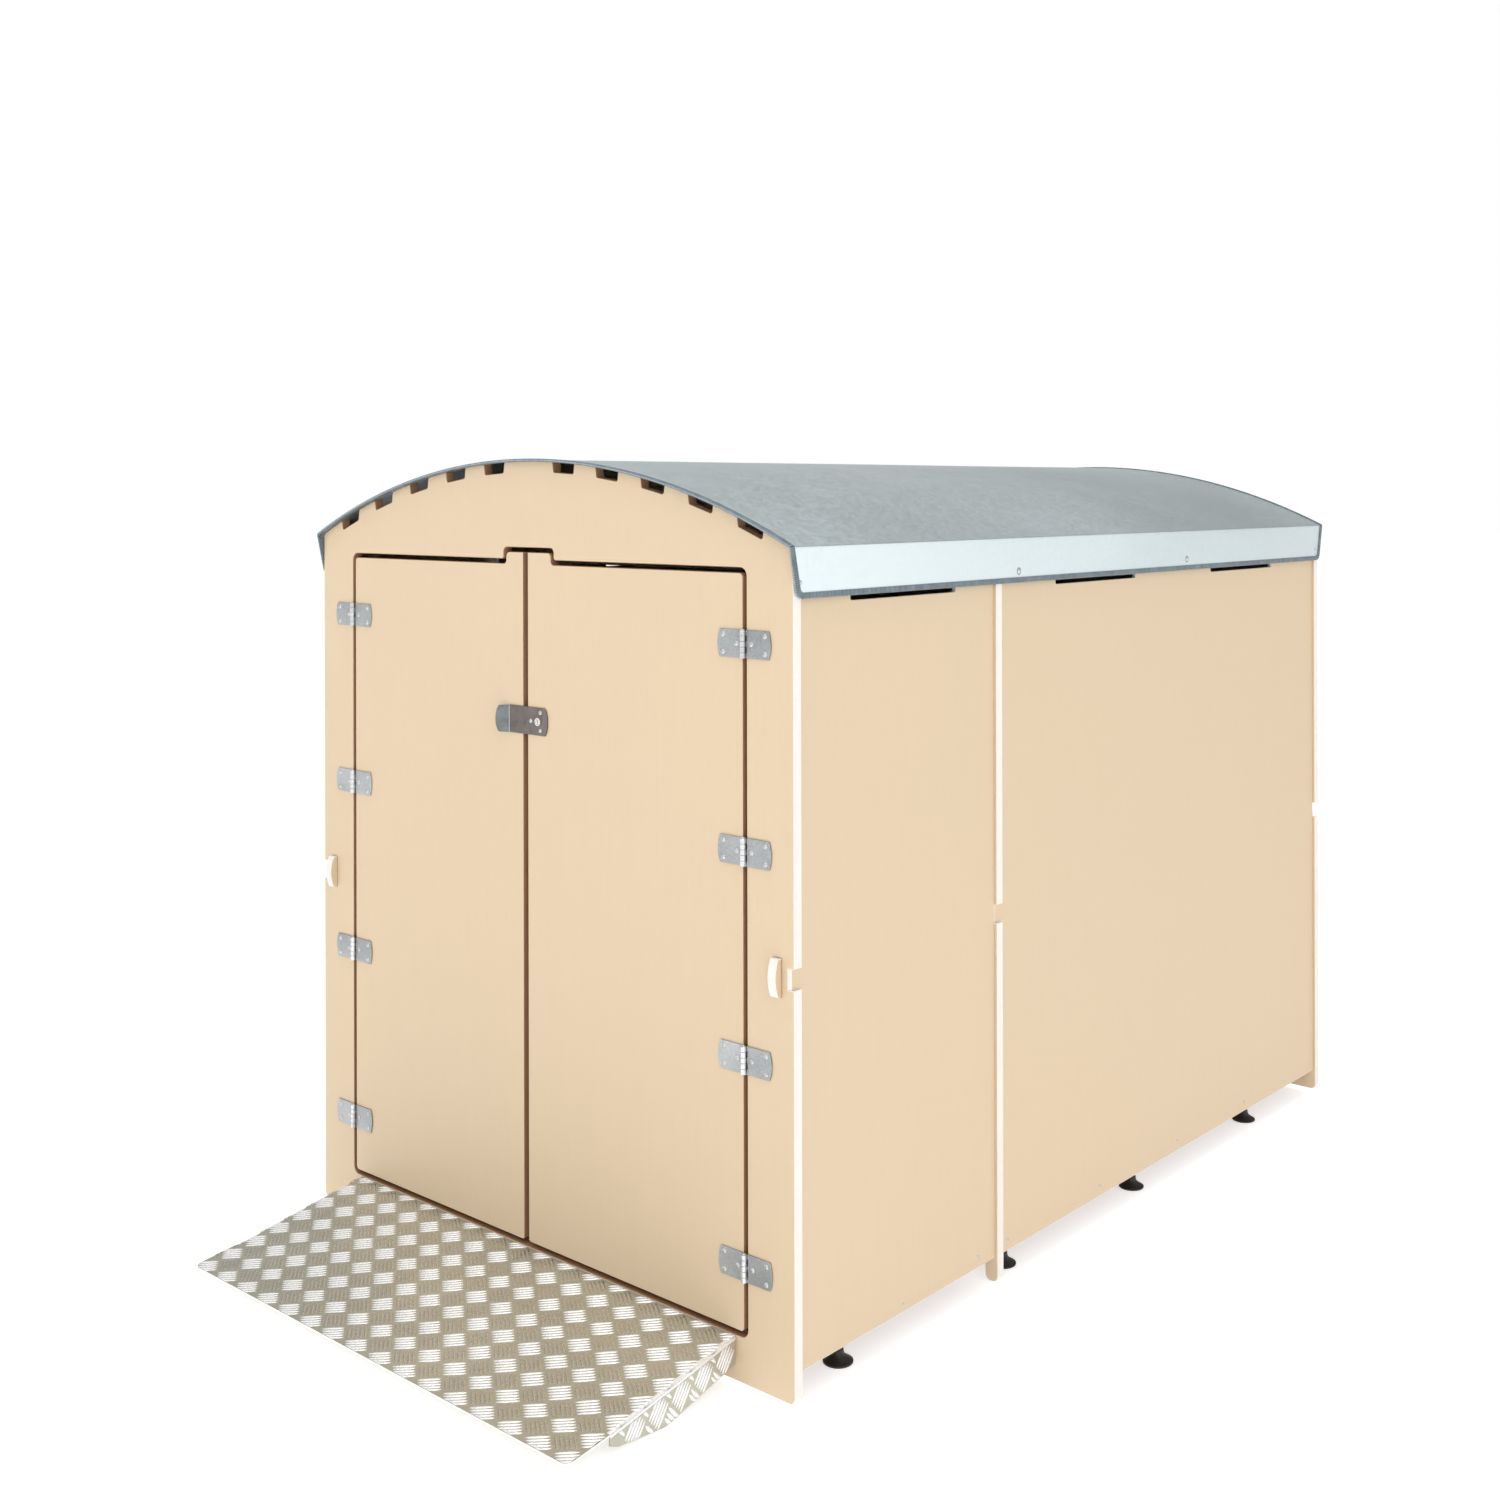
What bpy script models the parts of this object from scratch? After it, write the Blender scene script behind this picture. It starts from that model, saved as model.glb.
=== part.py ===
"""Calf hutch: a knock-down plywood shelter with an arched sheet-metal roof.

Three upright frames stand across the length: a front panel with a double door, an open
middle rib and a closed rear panel. Thin side panels, two floor panels and two tie rails join
them, an arched roof sheet with folded skirts covers them, and eight levelling feet carry
them. A tread-plate ramp leads up to the door sill.

Metres, +Z up, the doors face -Y, the ground is z = 0.
"""
import math

import bmesh
import bpy
from mathutils import Vector

# ---------------------------------------------------------------- driving dimensions
WIDTH = 1.468                 # across the frames
LENGTH = 2.240                # from the front panel's face to the rear panel's face
BASE = 0.010                  # frame bottoms above the ground
RAMP_REACH = 0.425            # ramp, out from the front panel's face
ROOF_END = 0.014              # roof sheet past the front and rear faces
FRAME_T = 0.022               # plywood of the frames, doors and floor
SKIN_T = 0.009                # plywood of the side panels
GAP = 0.0003                  # between pieces that touch

ROOF_R = 1.723                # outer radius of the roof's arch
ROOF_CENTRE = BASE + 0.012    # height of the arch's centre line
ROOF_T = 0.0015
ROOF_HALF = 0.7395            # half width over the skirts
SKIRT_H = 0.094
SKIRT_SET_BACK = 0.020        # how far a skirt's end slopes back on its way down

RIB_AT = 0.654                # middle rib's front face, from the front panel's face
RIB_STILE = 0.100
RIB_HEAD = BASE + 1.480       # top of the rib's opening
TOE_W = 0.032
UNDERSIDE = BASE + 0.0525     # bottom edge of the side panels
FLOOR_TOP = BASE + 0.0865     # level with the door sill

DOORWAY_HALF = 0.618
DOORWAY_TOP = BASE + 1.526
RECESS_HALF = 0.079           # raised middle of the doorway's top edge
RECESS_H = 0.025
DOOR_GAP = 0.009
DOOR_MEETING = 0.007          # half of the gap between the two doors
MEETING_AT = -0.009           # the gap's middle, a little to the left of the doorway's

VENT_CENTRES = (0.110, 0.240, 0.370, 0.500, 0.628)
VENT_HALF = 0.033
VENT_DEPTH = 0.023
SIDE_VENT_LEVEL = BASE + 1.461
SIDE_VENTS = {"front": ((0.174, 0.517),), "rear": ((0.896, 1.247), (1.622, 1.963))}

JOINT_LEVEL = BASE + 0.776    # side panel tabs and tie rails
NOTCH_DEPTH = 0.0155
NOTCH_HALF = 0.020
TIE_T = 0.019
TIE_H = 0.070
TIE_FROM_EDGE = 0.0405
TIE_NOSE = 0.018
TIE_NOSE_ENDS = 0.010

HINGE_LEVELS = tuple(BASE + 0.2195 + 0.388 * step for step in range(4))
HINGE_H = 0.053
LEAF_L = 0.0675
LEAF_BOW = 0.0055
KNUCKLE_R = 0.0055
PIN_R = 0.0025
BORE_R = 0.0028
PIN_X = DOORWAY_HALF - DOOR_GAP / 2

LATCH_LEVEL = BASE + 1.189
LATCH_H = 0.057
LATCH_LEFT = -0.058
LATCH_RIGHT = 0.062
LATCH_LIP = 0.0226
LATCH_T = 0.0025
LOCK_X = 0.0345
LOCK_R = 0.0085
PLUG_R = 0.0055
CAM_L = 0.076
CAM_W = 0.016
CAM_T = 0.003

RAMP_HALF = 0.590
RAMP_T = 0.0035
RAMP_TOP = ((0.004, 0.096), (0.325, 0.042), (RAMP_REACH, 0.030))   # out, up
FLANGE_FOOT = ((0.325, 0.021), (0.305, 0.013), (0.190, 0.0), (0.008, 0.042), (0.004, 0.046))

FOOT_X = 0.675
FOOT_PLACES = (0.195, 0.758, 1.310, 1.900)
PAD_R = 0.030
STEM_R = 0.005

# ---------------------------------------------------------------- places worked out from them
FRONT = (RAMP_REACH - LENGTH - ROOF_END - 0.003) / 2       # front face; the object is centred
HALF = WIDTH / 2
SKIN_OUT = HALF - NOTCH_DEPTH + SKIN_T
SKIN_IN = HALF - NOTCH_DEPTH
ARCH_R = ROOF_R - ROOF_T - 0.0005                          # of the frames' top edges
HINGE_Y = FRONT - GAP - KNUCKLE_R
TIE_X = HALF - TIE_FROM_EDGE
FLOOR_BOTTOM = FLOOR_TOP - FRAME_T
SIDES = {"left": -1, "right": 1}


def arch_height(x, radius):
    """Height of an arch of this radius at x."""
    return ROOF_CENTRE + math.sqrt(radius ** 2 - x ** 2)


# ---------------------------------------------------------------- helpers
def material(name, colour, roughness, metallic):
    found = bpy.data.materials.new(name)
    found.use_nodes = True
    shader = found.node_tree.nodes["Principled BSDF"]
    shader.inputs["Base Color"].default_value = (*colour, 1.0)
    shader.inputs["Roughness"].default_value = roughness
    shader.inputs["Metallic"].default_value = metallic
    found.diffuse_color = (*colour, 1.0)
    return found


def add_object(name, mesh, finish, parent=None):
    """Link a mesh as a named object; a parent keeps it where it is."""
    obj = bpy.data.objects.new(name, mesh)
    bpy.context.scene.collection.objects.link(obj)
    if finish is not None:
        mesh.materials.append(finish)
    if parent is not None:
        obj.parent = parent
        obj.matrix_parent_inverse = parent.matrix_basis.inverted()
    return obj


def pivot(name, place):
    """An empty on a joint's axis."""
    empty = bpy.data.objects.new(name, None)
    empty.location = place
    empty.empty_display_size = 0.05
    bpy.context.scene.collection.objects.link(empty)
    return empty


def rounded(corners, steps=4):
    """Outline of (a, b, radius) corners with each radius as an arc."""
    outline = []
    count = len(corners)
    for index, (a, b, radius) in enumerate(corners):
        here = Vector((a, b))
        if radius == 0:
            outline.append((a, b))
            continue
        back = (Vector(corners[index - 1][:2]) - here).normalized()
        ahead = (Vector(corners[(index + 1) % count][:2]) - here).normalized()
        half_angle = back.angle(ahead) / 2
        centre = here + (back + ahead).normalized() * radius / math.sin(half_angle)
        start = here + back * radius / math.tan(half_angle) - centre
        turn = start.angle_signed(here + ahead * radius / math.tan(half_angle) - centre)
        for step in range(steps + 1):
            angle = -turn * step / steps
            x = start.x * math.cos(angle) - start.y * math.sin(angle)
            y = start.x * math.sin(angle) + start.y * math.cos(angle)
            outline.append((centre.x + x, centre.y + y))
    return outline


def prism_mesh(name, outline, start, end, axis):
    """Closed prism of an outline along an axis: (y, z), (x, z) or (x, y) points."""
    place = {
        "X": lambda a, b, along: (along, a, b),
        "Y": lambda a, b, along: (a, along, b),
        "Z": lambda a, b, along: (a, b, along),
    }[axis]
    shape = bmesh.new()
    face = shape.faces.new([shape.verts.new(place(a, b, start)) for a, b in outline])
    grown = bmesh.ops.extrude_face_region(shape, geom=[face])
    moved = [item for item in grown["geom"] if isinstance(item, bmesh.types.BMVert)]
    bmesh.ops.translate(shape, verts=moved, vec=place(0, 0, end - start))
    bmesh.ops.recalc_face_normals(shape, faces=shape.faces)
    mesh = bpy.data.meshes.new(name)
    shape.to_mesh(mesh)
    shape.free()
    return mesh


def box_outline(a_low, a_high, b_low, b_high):
    return [(a_low, b_low), (a_high, b_low), (a_high, b_high), (a_low, b_high)]


def lathe_mesh(name, profile, segments=20):
    """Closed solid of (radius, height) points turned about Z; both ends lie on the axis."""
    shape = bmesh.new()
    points = [shape.verts.new((radius, 0, height)) for radius, height in profile]
    edges = [shape.edges.new(pair) for pair in zip(points, points[1:])]
    bmesh.ops.spin(
        shape, geom=points + edges, axis=(0, 0, 1), cent=(0, 0, 0),
        angle=math.tau, steps=segments, use_merge=True,
    )
    bmesh.ops.remove_doubles(shape, verts=shape.verts, dist=1e-6)
    bmesh.ops.recalc_face_normals(shape, faces=shape.faces)
    mesh = bpy.data.meshes.new(name)
    shape.to_mesh(mesh)
    shape.free()
    return mesh


def combine(obj, operation, mesh):
    """Boolean with a hidden helper; the modifier stays on the object."""
    helper = add_object(f"{obj.name}_helper_{len(obj.modifiers)}", mesh, None)
    helper.hide_render = True
    helper.display_type = "WIRE"
    modifier = obj.modifiers.new(operation.lower(), "BOOLEAN")
    modifier.operation = operation
    modifier.solver = "EXACT"
    modifier.object = helper
    return obj


def settled(obj, name):
    """The mesh of an object with its modifiers applied; the object and its helpers go."""
    graph = bpy.context.evaluated_depsgraph_get()
    mesh = bpy.data.meshes.new_from_object(obj.evaluated_get(graph))
    mesh.name = name
    helpers = [modifier.object for modifier in obj.modifiers]
    for item in [obj, *helpers]:
        bpy.data.objects.remove(item)
    return mesh


def mirrored(mesh, name):
    """A copy of a mesh mirrored in X."""
    copy = mesh.copy()
    copy.name = name
    for vert in copy.vertices:
        vert.co.x = -vert.co.x
    copy.flip_normals()
    return copy


# ---------------------------------------------------------------- frames
def frame_outline(vents, toe):
    """Outline of a frame: straight sides with a notch, an arched top with vents or without.

    A toe narrower than the half width leaves the bottom edge raised between two toes.
    """
    low, high = JOINT_LEVEL - NOTCH_HALF, JOINT_LEVEL + NOTCH_HALF
    inner = HALF - NOTCH_DEPTH
    side = []
    if toe < HALF:
        side += [(HALF - toe, UNDERSIDE, 0.004), (HALF - toe, BASE, 0.014)]
    side += [
        (HALF, BASE, 0.014),
        (HALF, low, 0), (inner, low, 0), (inner, high, 0), (HALF, high, 0),
        (HALF, arch_height(HALF, ARCH_R), 0),
    ]
    level = UNDERSIDE if toe < HALF else BASE
    right = rounded([(-HALF, level, 0), *side, (0, 2.0, 0)])[1:-1]
    centres = sorted(VENT_CENTRES, reverse=True) if vents else []
    edge = HALF
    for centre in centres:
        right += arch_points(edge, centre + VENT_HALF)[1:]
        for x in (centre + VENT_HALF - 0.003, centre - VENT_HALF + 0.003):
            right.append((x, arch_height(x, ARCH_R) - VENT_DEPTH))
        edge = centre - VENT_HALF
        right.append((edge, arch_height(edge, ARCH_R)))
    right += arch_points(edge, 0)[1:]
    left = [(-x, z) for x, z in reversed(right[:-1])]
    return right + left


def arch_points(start, end):
    """Points along the frames' arch, about 60 mm apart."""
    count = max(1, round(abs(end - start) / 0.06))
    xs = [start + (end - start) * step / count for step in range(count + 1)]
    return [(x, arch_height(x, ARCH_R)) for x in xs]


def tie_slot(side):
    """Outline of the slot that a tie rail passes through."""
    half_t = TIE_T / 2 + GAP
    half_h = TIE_H / 2 + GAP
    x = SIDES[side] * TIE_X
    return box_outline(x - half_t, x + half_t, JOINT_LEVEL - half_h, JOINT_LEVEL + half_h)


def build_front_panel(wood):
    outline = frame_outline(vents=True, toe=HALF)
    mesh = prism_mesh("front_panel", outline, FRONT, FRONT + FRAME_T, "Y")
    panel = add_object("front_panel", mesh, wood)
    top = DOORWAY_TOP
    right = [
        (DOORWAY_HALF, FLOOR_TOP, 0.016), (DOORWAY_HALF, top, 0.016),
        (RECESS_HALF, top, 0.006), (RECESS_HALF, top + RECESS_H, 0.010),
    ]
    left = [(-x, z, radius) for x, z, radius in reversed(right)]
    cut = (FRONT - 0.05, FRONT + 0.05)
    combine(panel, "DIFFERENCE", prism_mesh("doorway", rounded(right + left), *cut, "Y"))
    for side in SIDES:
        combine(panel, "DIFFERENCE", prism_mesh("tie_slot", tie_slot(side), *cut, "Y"))


def build_mid_rib(wood):
    start = FRONT + RIB_AT
    outline = frame_outline(vents=False, toe=TOE_W)
    rib = add_object("mid_rib", prism_mesh("mid_rib", outline, start, start + FRAME_T, "Y"), wood)
    inner = HALF - RIB_STILE
    portal = rounded([
        (-inner, FLOOR_TOP, 0.04), (inner, FLOOR_TOP, 0.04),
        (inner, RIB_HEAD, 0.08), (-inner, RIB_HEAD, 0.08),
    ])
    cut = (start - 0.05, start + 0.05)
    combine(rib, "DIFFERENCE", prism_mesh("portal", portal, *cut, "Y"))
    for side in SIDES:
        combine(rib, "DIFFERENCE", prism_mesh("tie_slot", tie_slot(side), *cut, "Y"))


def build_rear_panel(wood):
    end = FRONT + LENGTH
    outline = frame_outline(vents=False, toe=HALF)
    add_object("rear_panel", prism_mesh("rear_panel", outline, end - FRAME_T, end, "Y"), wood)


# ---------------------------------------------------------------- side panels, floor, ties
def build_side_panel(bay, start, end, side, wood):
    """A thin panel between two frames, with a tab through the frame in front of it."""
    top = arch_height(HALF, ARCH_R) - 0.004
    tab_start = start - FRAME_T - GAP
    half_tab = NOTCH_HALF - GAP
    outline = [(start, UNDERSIDE), (end, UNDERSIDE), (end, top)]
    for vent_start, vent_end in reversed(SIDE_VENTS[bay]):
        low, high = FRONT + vent_start, FRONT + vent_end
        outline += [(high, top), (high, SIDE_VENT_LEVEL), (low, SIDE_VENT_LEVEL), (low, top)]
    outline += [
        (start, top), (start, JOINT_LEVEL + half_tab), (tab_start, JOINT_LEVEL + half_tab),
        (tab_start, JOINT_LEVEL - half_tab), (start, JOINT_LEVEL - half_tab),
    ]
    sign = SIDES[side]
    name = f"side_panel_{bay}_{side}"
    inner = sign * (SKIN_IN + GAP)
    add_object(name, prism_mesh(name, outline, inner, sign * SKIN_OUT, "X"), wood)


def build_floor(bay, start, end, wood):
    """A floor panel with a through hole for each levelling foot below it."""
    half = SKIN_IN - GAP
    name = f"floor_{bay}"
    outline = box_outline(-half, half, start, end)
    floor = add_object(name, prism_mesh(name, outline, FLOOR_BOTTOM, FLOOR_TOP, "Z"), wood)
    for place in FOOT_PLACES:
        y = FRONT + place
        if start < y < end:
            for x in (-FOOT_X, FOOT_X):
                hole = [
                    (x + (STEM_R + 0.0006) * math.cos(turn), y + (STEM_R + 0.0006) * math.sin(turn))
                    for turn in (math.tau * step / 16 for step in range(16))
                ]
                cut = prism_mesh("stem_hole", hole, FLOOR_BOTTOM - 0.02, FLOOR_TOP + 0.02, "Z")
                combine(floor, "DIFFERENCE", cut)


def build_tie_rail(side, wood):
    """A rail from the front panel to the rear panel, with a rounded nose in front."""
    half_h = TIE_H / 2
    end = FRONT + LENGTH - FRAME_T - GAP
    bow = TIE_NOSE - TIE_NOSE_ENDS
    nose = [
        (FRONT - TIE_NOSE + bow * share ** 2, JOINT_LEVEL + half_h * share)
        for share in (-1 + step / 4 for step in range(9))
    ]
    outline = [
        (end, JOINT_LEVEL + half_h), (FRONT, JOINT_LEVEL + half_h), *reversed(nose),
        (FRONT, JOINT_LEVEL - half_h), (end, JOINT_LEVEL - half_h),
    ]
    x = SIDES[side] * TIE_X
    name = f"tie_rail_{side}"
    add_object(name, prism_mesh(name, outline, x - TIE_T / 2, x + TIE_T / 2, "X"), wood)


# ---------------------------------------------------------------- roof
def roof_section(inset):
    """(x, z) points of the roof from the left skirt's bottom to the right one's.

    The inset is measured inwards from the sheet's outer face.
    """
    half = ROOF_HALF - inset
    radius = ROOF_R - inset
    fold = arch_height(half, radius)
    bottom = arch_height(ROOF_HALF, ROOF_R) - SKIRT_H
    count = 28
    arch = [half * (2 * step / count - 1) for step in range(count + 1)]
    points = [(-half, bottom), (-half, (bottom + fold) / 2)]
    points += [(x, arch_height(x, radius)) for x in arch]
    points += [(half, (bottom + fold) / 2), (half, bottom)]
    return points


def roof_end(z):
    """How far the roof's end stands past the frames at a height: less lower on a skirt."""
    fold = arch_height(ROOF_HALF, ROOF_R)
    drop = min(max((fold - z) / SKIRT_H, 0), 1)
    return ROOF_END - SKIRT_SET_BACK * drop


def build_roof_sheet(metal):
    outer = roof_section(0)
    inner = roof_section(ROOF_T)
    verts = []
    for (ox, oz), (ix, iz) in zip(outer, inner):
        reach = roof_end(oz)
        near, far = FRONT - reach, FRONT + LENGTH + reach
        verts += [(ox, near, oz), (ox, far, oz), (ix, near, iz), (ix, far, iz)]
    faces = [(0, 1, 3, 2)]
    last = 4 * (len(outer) - 1)
    faces.append((last, last + 2, last + 3, last + 1))
    for step in range(len(outer) - 1):
        a, b = 4 * step, 4 * step + 4
        faces += [
            (a, b, b + 1, a + 1), (a + 2, a + 3, b + 3, b + 2),
            (a, a + 2, b + 2, b), (a + 1, b + 1, b + 3, a + 3),
        ]
    mesh = bpy.data.meshes.new("roof_sheet")
    mesh.from_pydata(verts, [], faces)
    shape = bmesh.new()
    shape.from_mesh(mesh)
    bmesh.ops.recalc_face_normals(shape, faces=shape.faces)
    shape.to_mesh(mesh)
    shape.free()
    add_object("roof_sheet", mesh, metal)


def build_roof_edge_trim(rubber):
    """A U-channel round the sheet's whole edge: both arched ends and both skirts."""
    middle = roof_section(ROOF_T / 2)
    count = len(middle)
    front, rear = [], []
    for x, z in middle:
        reach = roof_end(z)
        front.append(Vector((x, FRONT - reach, z)))
        rear.append(Vector((x, FRONT + LENGTH + reach, z)))
    skirt_rows = [0.25, 0.5, 0.75]
    right_edge = [front[-1].lerp(rear[-1], part) for part in skirt_rows]
    left_edge = [rear[0].lerp(front[0], part) for part in skirt_rows]
    path = front + right_edge + list(reversed(rear)) + left_edge
    # sheet normals beside each stretch of the path, and the direction into the sheet
    section_normals = []
    for (ax, az), (bx, bz) in zip(middle, middle[1:]):
        section_normals.append(Vector((az - bz, 0, bx - ax)).normalized())
    side_normals = [Vector((1, 0, 0)), Vector((-1, 0, 0))]
    stretches = list(section_normals) + [side_normals[0]] * (len(skirt_rows) + 1)
    stretches += list(reversed(section_normals)) + [side_normals[1]] * (len(skirt_rows) + 1)
    total = len(path)
    into = []
    for index in range(total):
        along = (path[(index + 1) % total] - path[index]).normalized()
        into.append(stretches[index].cross(along).normalized())
    out_leg, slot, depth, cover = 0.0032, 0.00105, 0.009, 0.003
    profile = [
        (-out_leg, depth), (-out_leg, -cover), (out_leg, -cover), (out_leg, depth),
        (slot, depth), (slot, -GAP), (-slot, -GAP), (-slot, depth),
    ]
    shape = bmesh.new()
    rings = []
    for index in range(total):
        n_a, n_b = stretches[index - 1], stretches[index]
        e_a, e_b = into[index - 1], into[index]
        normal = (n_a + n_b) / (1 + n_a.dot(n_b))
        inward = (e_a + e_b) / (1 + e_a.dot(e_b))
        fold = n_a.cross(n_b)
        if fold.length > 1e-4:                   # the mitre lies on the sheet's own fold line
            inward = fold / fold.dot(e_a + e_b) * 2
        ring = [shape.verts.new(path[index] + normal * n + inward * e) for n, e in profile]
        rings.append(ring)
    size = len(profile)
    for index in range(total):
        here, ahead = rings[index], rings[(index + 1) % total]
        for step in range(size):
            after = (step + 1) % size
            shape.faces.new((here[step], here[after], ahead[after], ahead[step]))
    bmesh.ops.recalc_face_normals(shape, faces=shape.faces)
    mesh = bpy.data.meshes.new("roof_edge_trim")
    shape.to_mesh(mesh)
    shape.free()
    add_object("roof_edge_trim", mesh, rubber)


# ---------------------------------------------------------------- doors and their hinges
def build_door(side, wood, parent):
    sign = SIDES[side]
    outer = DOORWAY_HALF - DOOR_GAP
    bottom = FLOOR_TOP + 0.010
    top = DOORWAY_TOP - 0.010
    meeting = DOOR_MEETING + sign * MEETING_AT
    corners = [
        (outer, bottom, 0.009), (outer, top, 0.009),
        (RECESS_HALF - 0.008, top, 0.008), (RECESS_HALF - 0.008, top + RECESS_H, 0.010),
        (meeting, top + RECESS_H, 0), (meeting, bottom, 0.006),
    ]
    outline = [(sign * x, z) for x, z in rounded(corners)]
    name = f"door_{side}"
    mesh = prism_mesh(name, outline, FRONT, FRONT + FRAME_T, "Y")
    door = add_object(name, mesh, wood, parent)
    if side == "right":
        combine(door, "DIFFERENCE", lock_hole(FRONT - 0.02, FRONT + 0.05))


def circle(x, z, radius, steps=24):
    turns = (math.tau * step / steps for step in range(steps))
    return [(x + radius * math.cos(turn), z + radius * math.sin(turn)) for turn in turns]


def lock_hole(start, end):
    return prism_mesh("lock_hole", circle(LOCK_X, LATCH_LEVEL, LOCK_R + GAP), start, end, "Y")


def leaf_mesh(name, knuckles):
    """A hinge leaf on +X of a pin at the origin, with the numbered knuckles of five."""
    start, stop = math.radians(90), math.radians(372)
    turns = [start + (stop - start) * step / 11 for step in range(12)]
    outer = [(KNUCKLE_R * math.cos(turn), KNUCKLE_R * math.sin(turn)) for turn in turns]
    inner = [(BORE_R * math.cos(turn), BORE_R * math.sin(turn)) for turn in reversed(turns)]
    section = [(LEAF_L + 0.01, KNUCKLE_R), *outer, *inner, (LEAF_L + 0.01, BORE_R)]
    half = HINGE_H / 2
    leaf = add_object(name, prism_mesh(name, section, -half - 0.01, half + 0.01, "Z"), None)
    root = KNUCKLE_R + 0.0005
    bow = [
        (LEAF_L - LEAF_BOW * share ** 2, half * share) for share in (-1 + step / 4 for step in range(9))
    ]
    comb = [(root, -half), *bow, (root, half)]
    pitch = HINGE_H / 5
    for knuckle in sorted(knuckles, reverse=True):
        low = -half + pitch * knuckle + (GAP / 2 if knuckle > 0 else 0)
        high = -half + pitch * (knuckle + 1) - (GAP / 2 if knuckle < 4 else 0)
        if knuckle < 4:
            comb.append((root, high))
        comb += [(-0.008, high), (-0.008, low)]
        if knuckle > 0:
            comb.append((root, low))
    combine(leaf, "INTERSECT", prism_mesh("comb", comb, -0.02, 0.02, "Y"))
    return settled(leaf, name)


def build_hinges(side, metal, door_pivot):
    """Four hinges: a frame leaf, a door leaf and a pin each."""
    sign = SIDES[side]
    frame_leaf = leaf_mesh("hinge_frame_leaf", (0, 2, 4))
    door_leaf = mirrored(leaf_mesh("hinge_door_leaf", (1, 3)), "hinge_door_leaf")
    if sign < 0:
        frame_leaf = mirrored(frame_leaf, "hinge_frame_leaf_left")
        door_leaf = mirrored(door_leaf, "hinge_door_leaf_left")
    frame_leaf.materials.append(metal)
    door_leaf.materials.append(metal)
    half = HINGE_H / 2
    profile = [
        (0, -half), (PIN_R, -half), (PIN_R, half + GAP),
        (0.0042, half + GAP), (0.0030, half + 0.0022), (0, half + 0.0022),
    ]
    for number, level in enumerate(HINGE_LEVELS, start=1):
        place = (sign * PIN_X, HINGE_Y, level)
        leaf = add_object(f"hinge_{side}_{number}_frame_leaf", frame_leaf, None)
        leaf.location = place
        moving = add_object(f"hinge_{side}_{number}_door_leaf", door_leaf, None, door_pivot)
        moving.location = place
        pin_name = f"hinge_{side}_{number}_pin"
        pin = add_object(pin_name, lathe_mesh(pin_name, profile, 16), metal)
        pin.location = place


# ---------------------------------------------------------------- latch plate and lock
def build_latch_plate(steel, parent):
    """A plate on the right door that laps the left one, with its end bent outwards."""
    back = FRONT - GAP
    front = back - LATCH_T
    slant = LATCH_LIP / math.sqrt(2) * 1.4
    tip = (LATCH_LEFT - slant, back - slant)
    section = [
        (LATCH_LEFT, back), tip, (tip[0] + LATCH_T * 0.7, tip[1] - LATCH_T * 0.7),
        (LATCH_LEFT + LATCH_T * 0.4, front), (LATCH_RIGHT, front), (LATCH_RIGHT, back),
    ]
    low, high = LATCH_LEVEL - LATCH_H / 2, LATCH_LEVEL + LATCH_H / 2
    mesh = prism_mesh("latch_plate", section, low - 0.01, high + 0.01, "Z")
    plate = add_object("latch_plate", mesh, steel, parent)
    half = LATCH_H / 2
    right_bow = [
        (LATCH_RIGHT - 0.009 + 0.009 * math.cos(turn), LATCH_LEVEL + half * 0.94 * math.sin(turn))
        for turn in (math.radians(-75 + 25 * step) for step in range(7))
    ]
    left_end = LATCH_LEFT - slant
    left_bow = [
        (left_end + 0.010 - 0.010 * math.cos(turn), LATCH_LEVEL + half * 0.92 * math.sin(turn))
        for turn in (math.radians(75 - 25 * step) for step in range(7))
    ]
    face = [
        (left_end + 0.014, low), (LATCH_RIGHT - 0.013, low), *right_bow,
        (LATCH_RIGHT - 0.013, high), (left_end + 0.014, high), *left_bow,
    ]
    combine(plate, "INTERSECT", prism_mesh("face", face, FRONT - 0.06, FRONT + 0.01, "Y"))
    combine(plate, "DIFFERENCE", lock_hole(FRONT - 0.05, FRONT + 0.02))


def build_lock(steel, parent, turn_pivot):
    """A cylinder through the plate and the door, a plug that turns in it and a cam behind."""
    face = FRONT - GAP - LATCH_T - 0.0035
    back = FRONT + FRAME_T + 0.001
    body = prism_mesh("lock_cylinder", circle(LOCK_X, LATCH_LEVEL, LOCK_R), face, back, "Y")
    cylinder = add_object("lock_cylinder", body, steel, parent)
    bore = circle(LOCK_X, LATCH_LEVEL, PLUG_R + GAP)
    combine(cylinder, "DIFFERENCE", prism_mesh("plug_bore", bore, face - 0.01, back + 0.01, "Y"))
    plug = prism_mesh("lock_plug", circle(LOCK_X, LATCH_LEVEL, PLUG_R), face + 0.0008, back, "Y")
    add_object("lock_plug", plug, steel, turn_pivot)
    half = CAM_W / 2
    tail = CAM_L - half
    cam = rounded([
        (LOCK_X - half, LATCH_LEVEL + half, 0.006), (LOCK_X - half, LATCH_LEVEL - tail, 0.004),
        (LOCK_X + half, LATCH_LEVEL - tail, 0.004), (LOCK_X + half, LATCH_LEVEL + half, 0.006),
    ])
    mesh = prism_mesh("lock_cam", cam, back + GAP, back + GAP + CAM_T, "Y")
    add_object("lock_cam", mesh, steel, turn_pivot)


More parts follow.
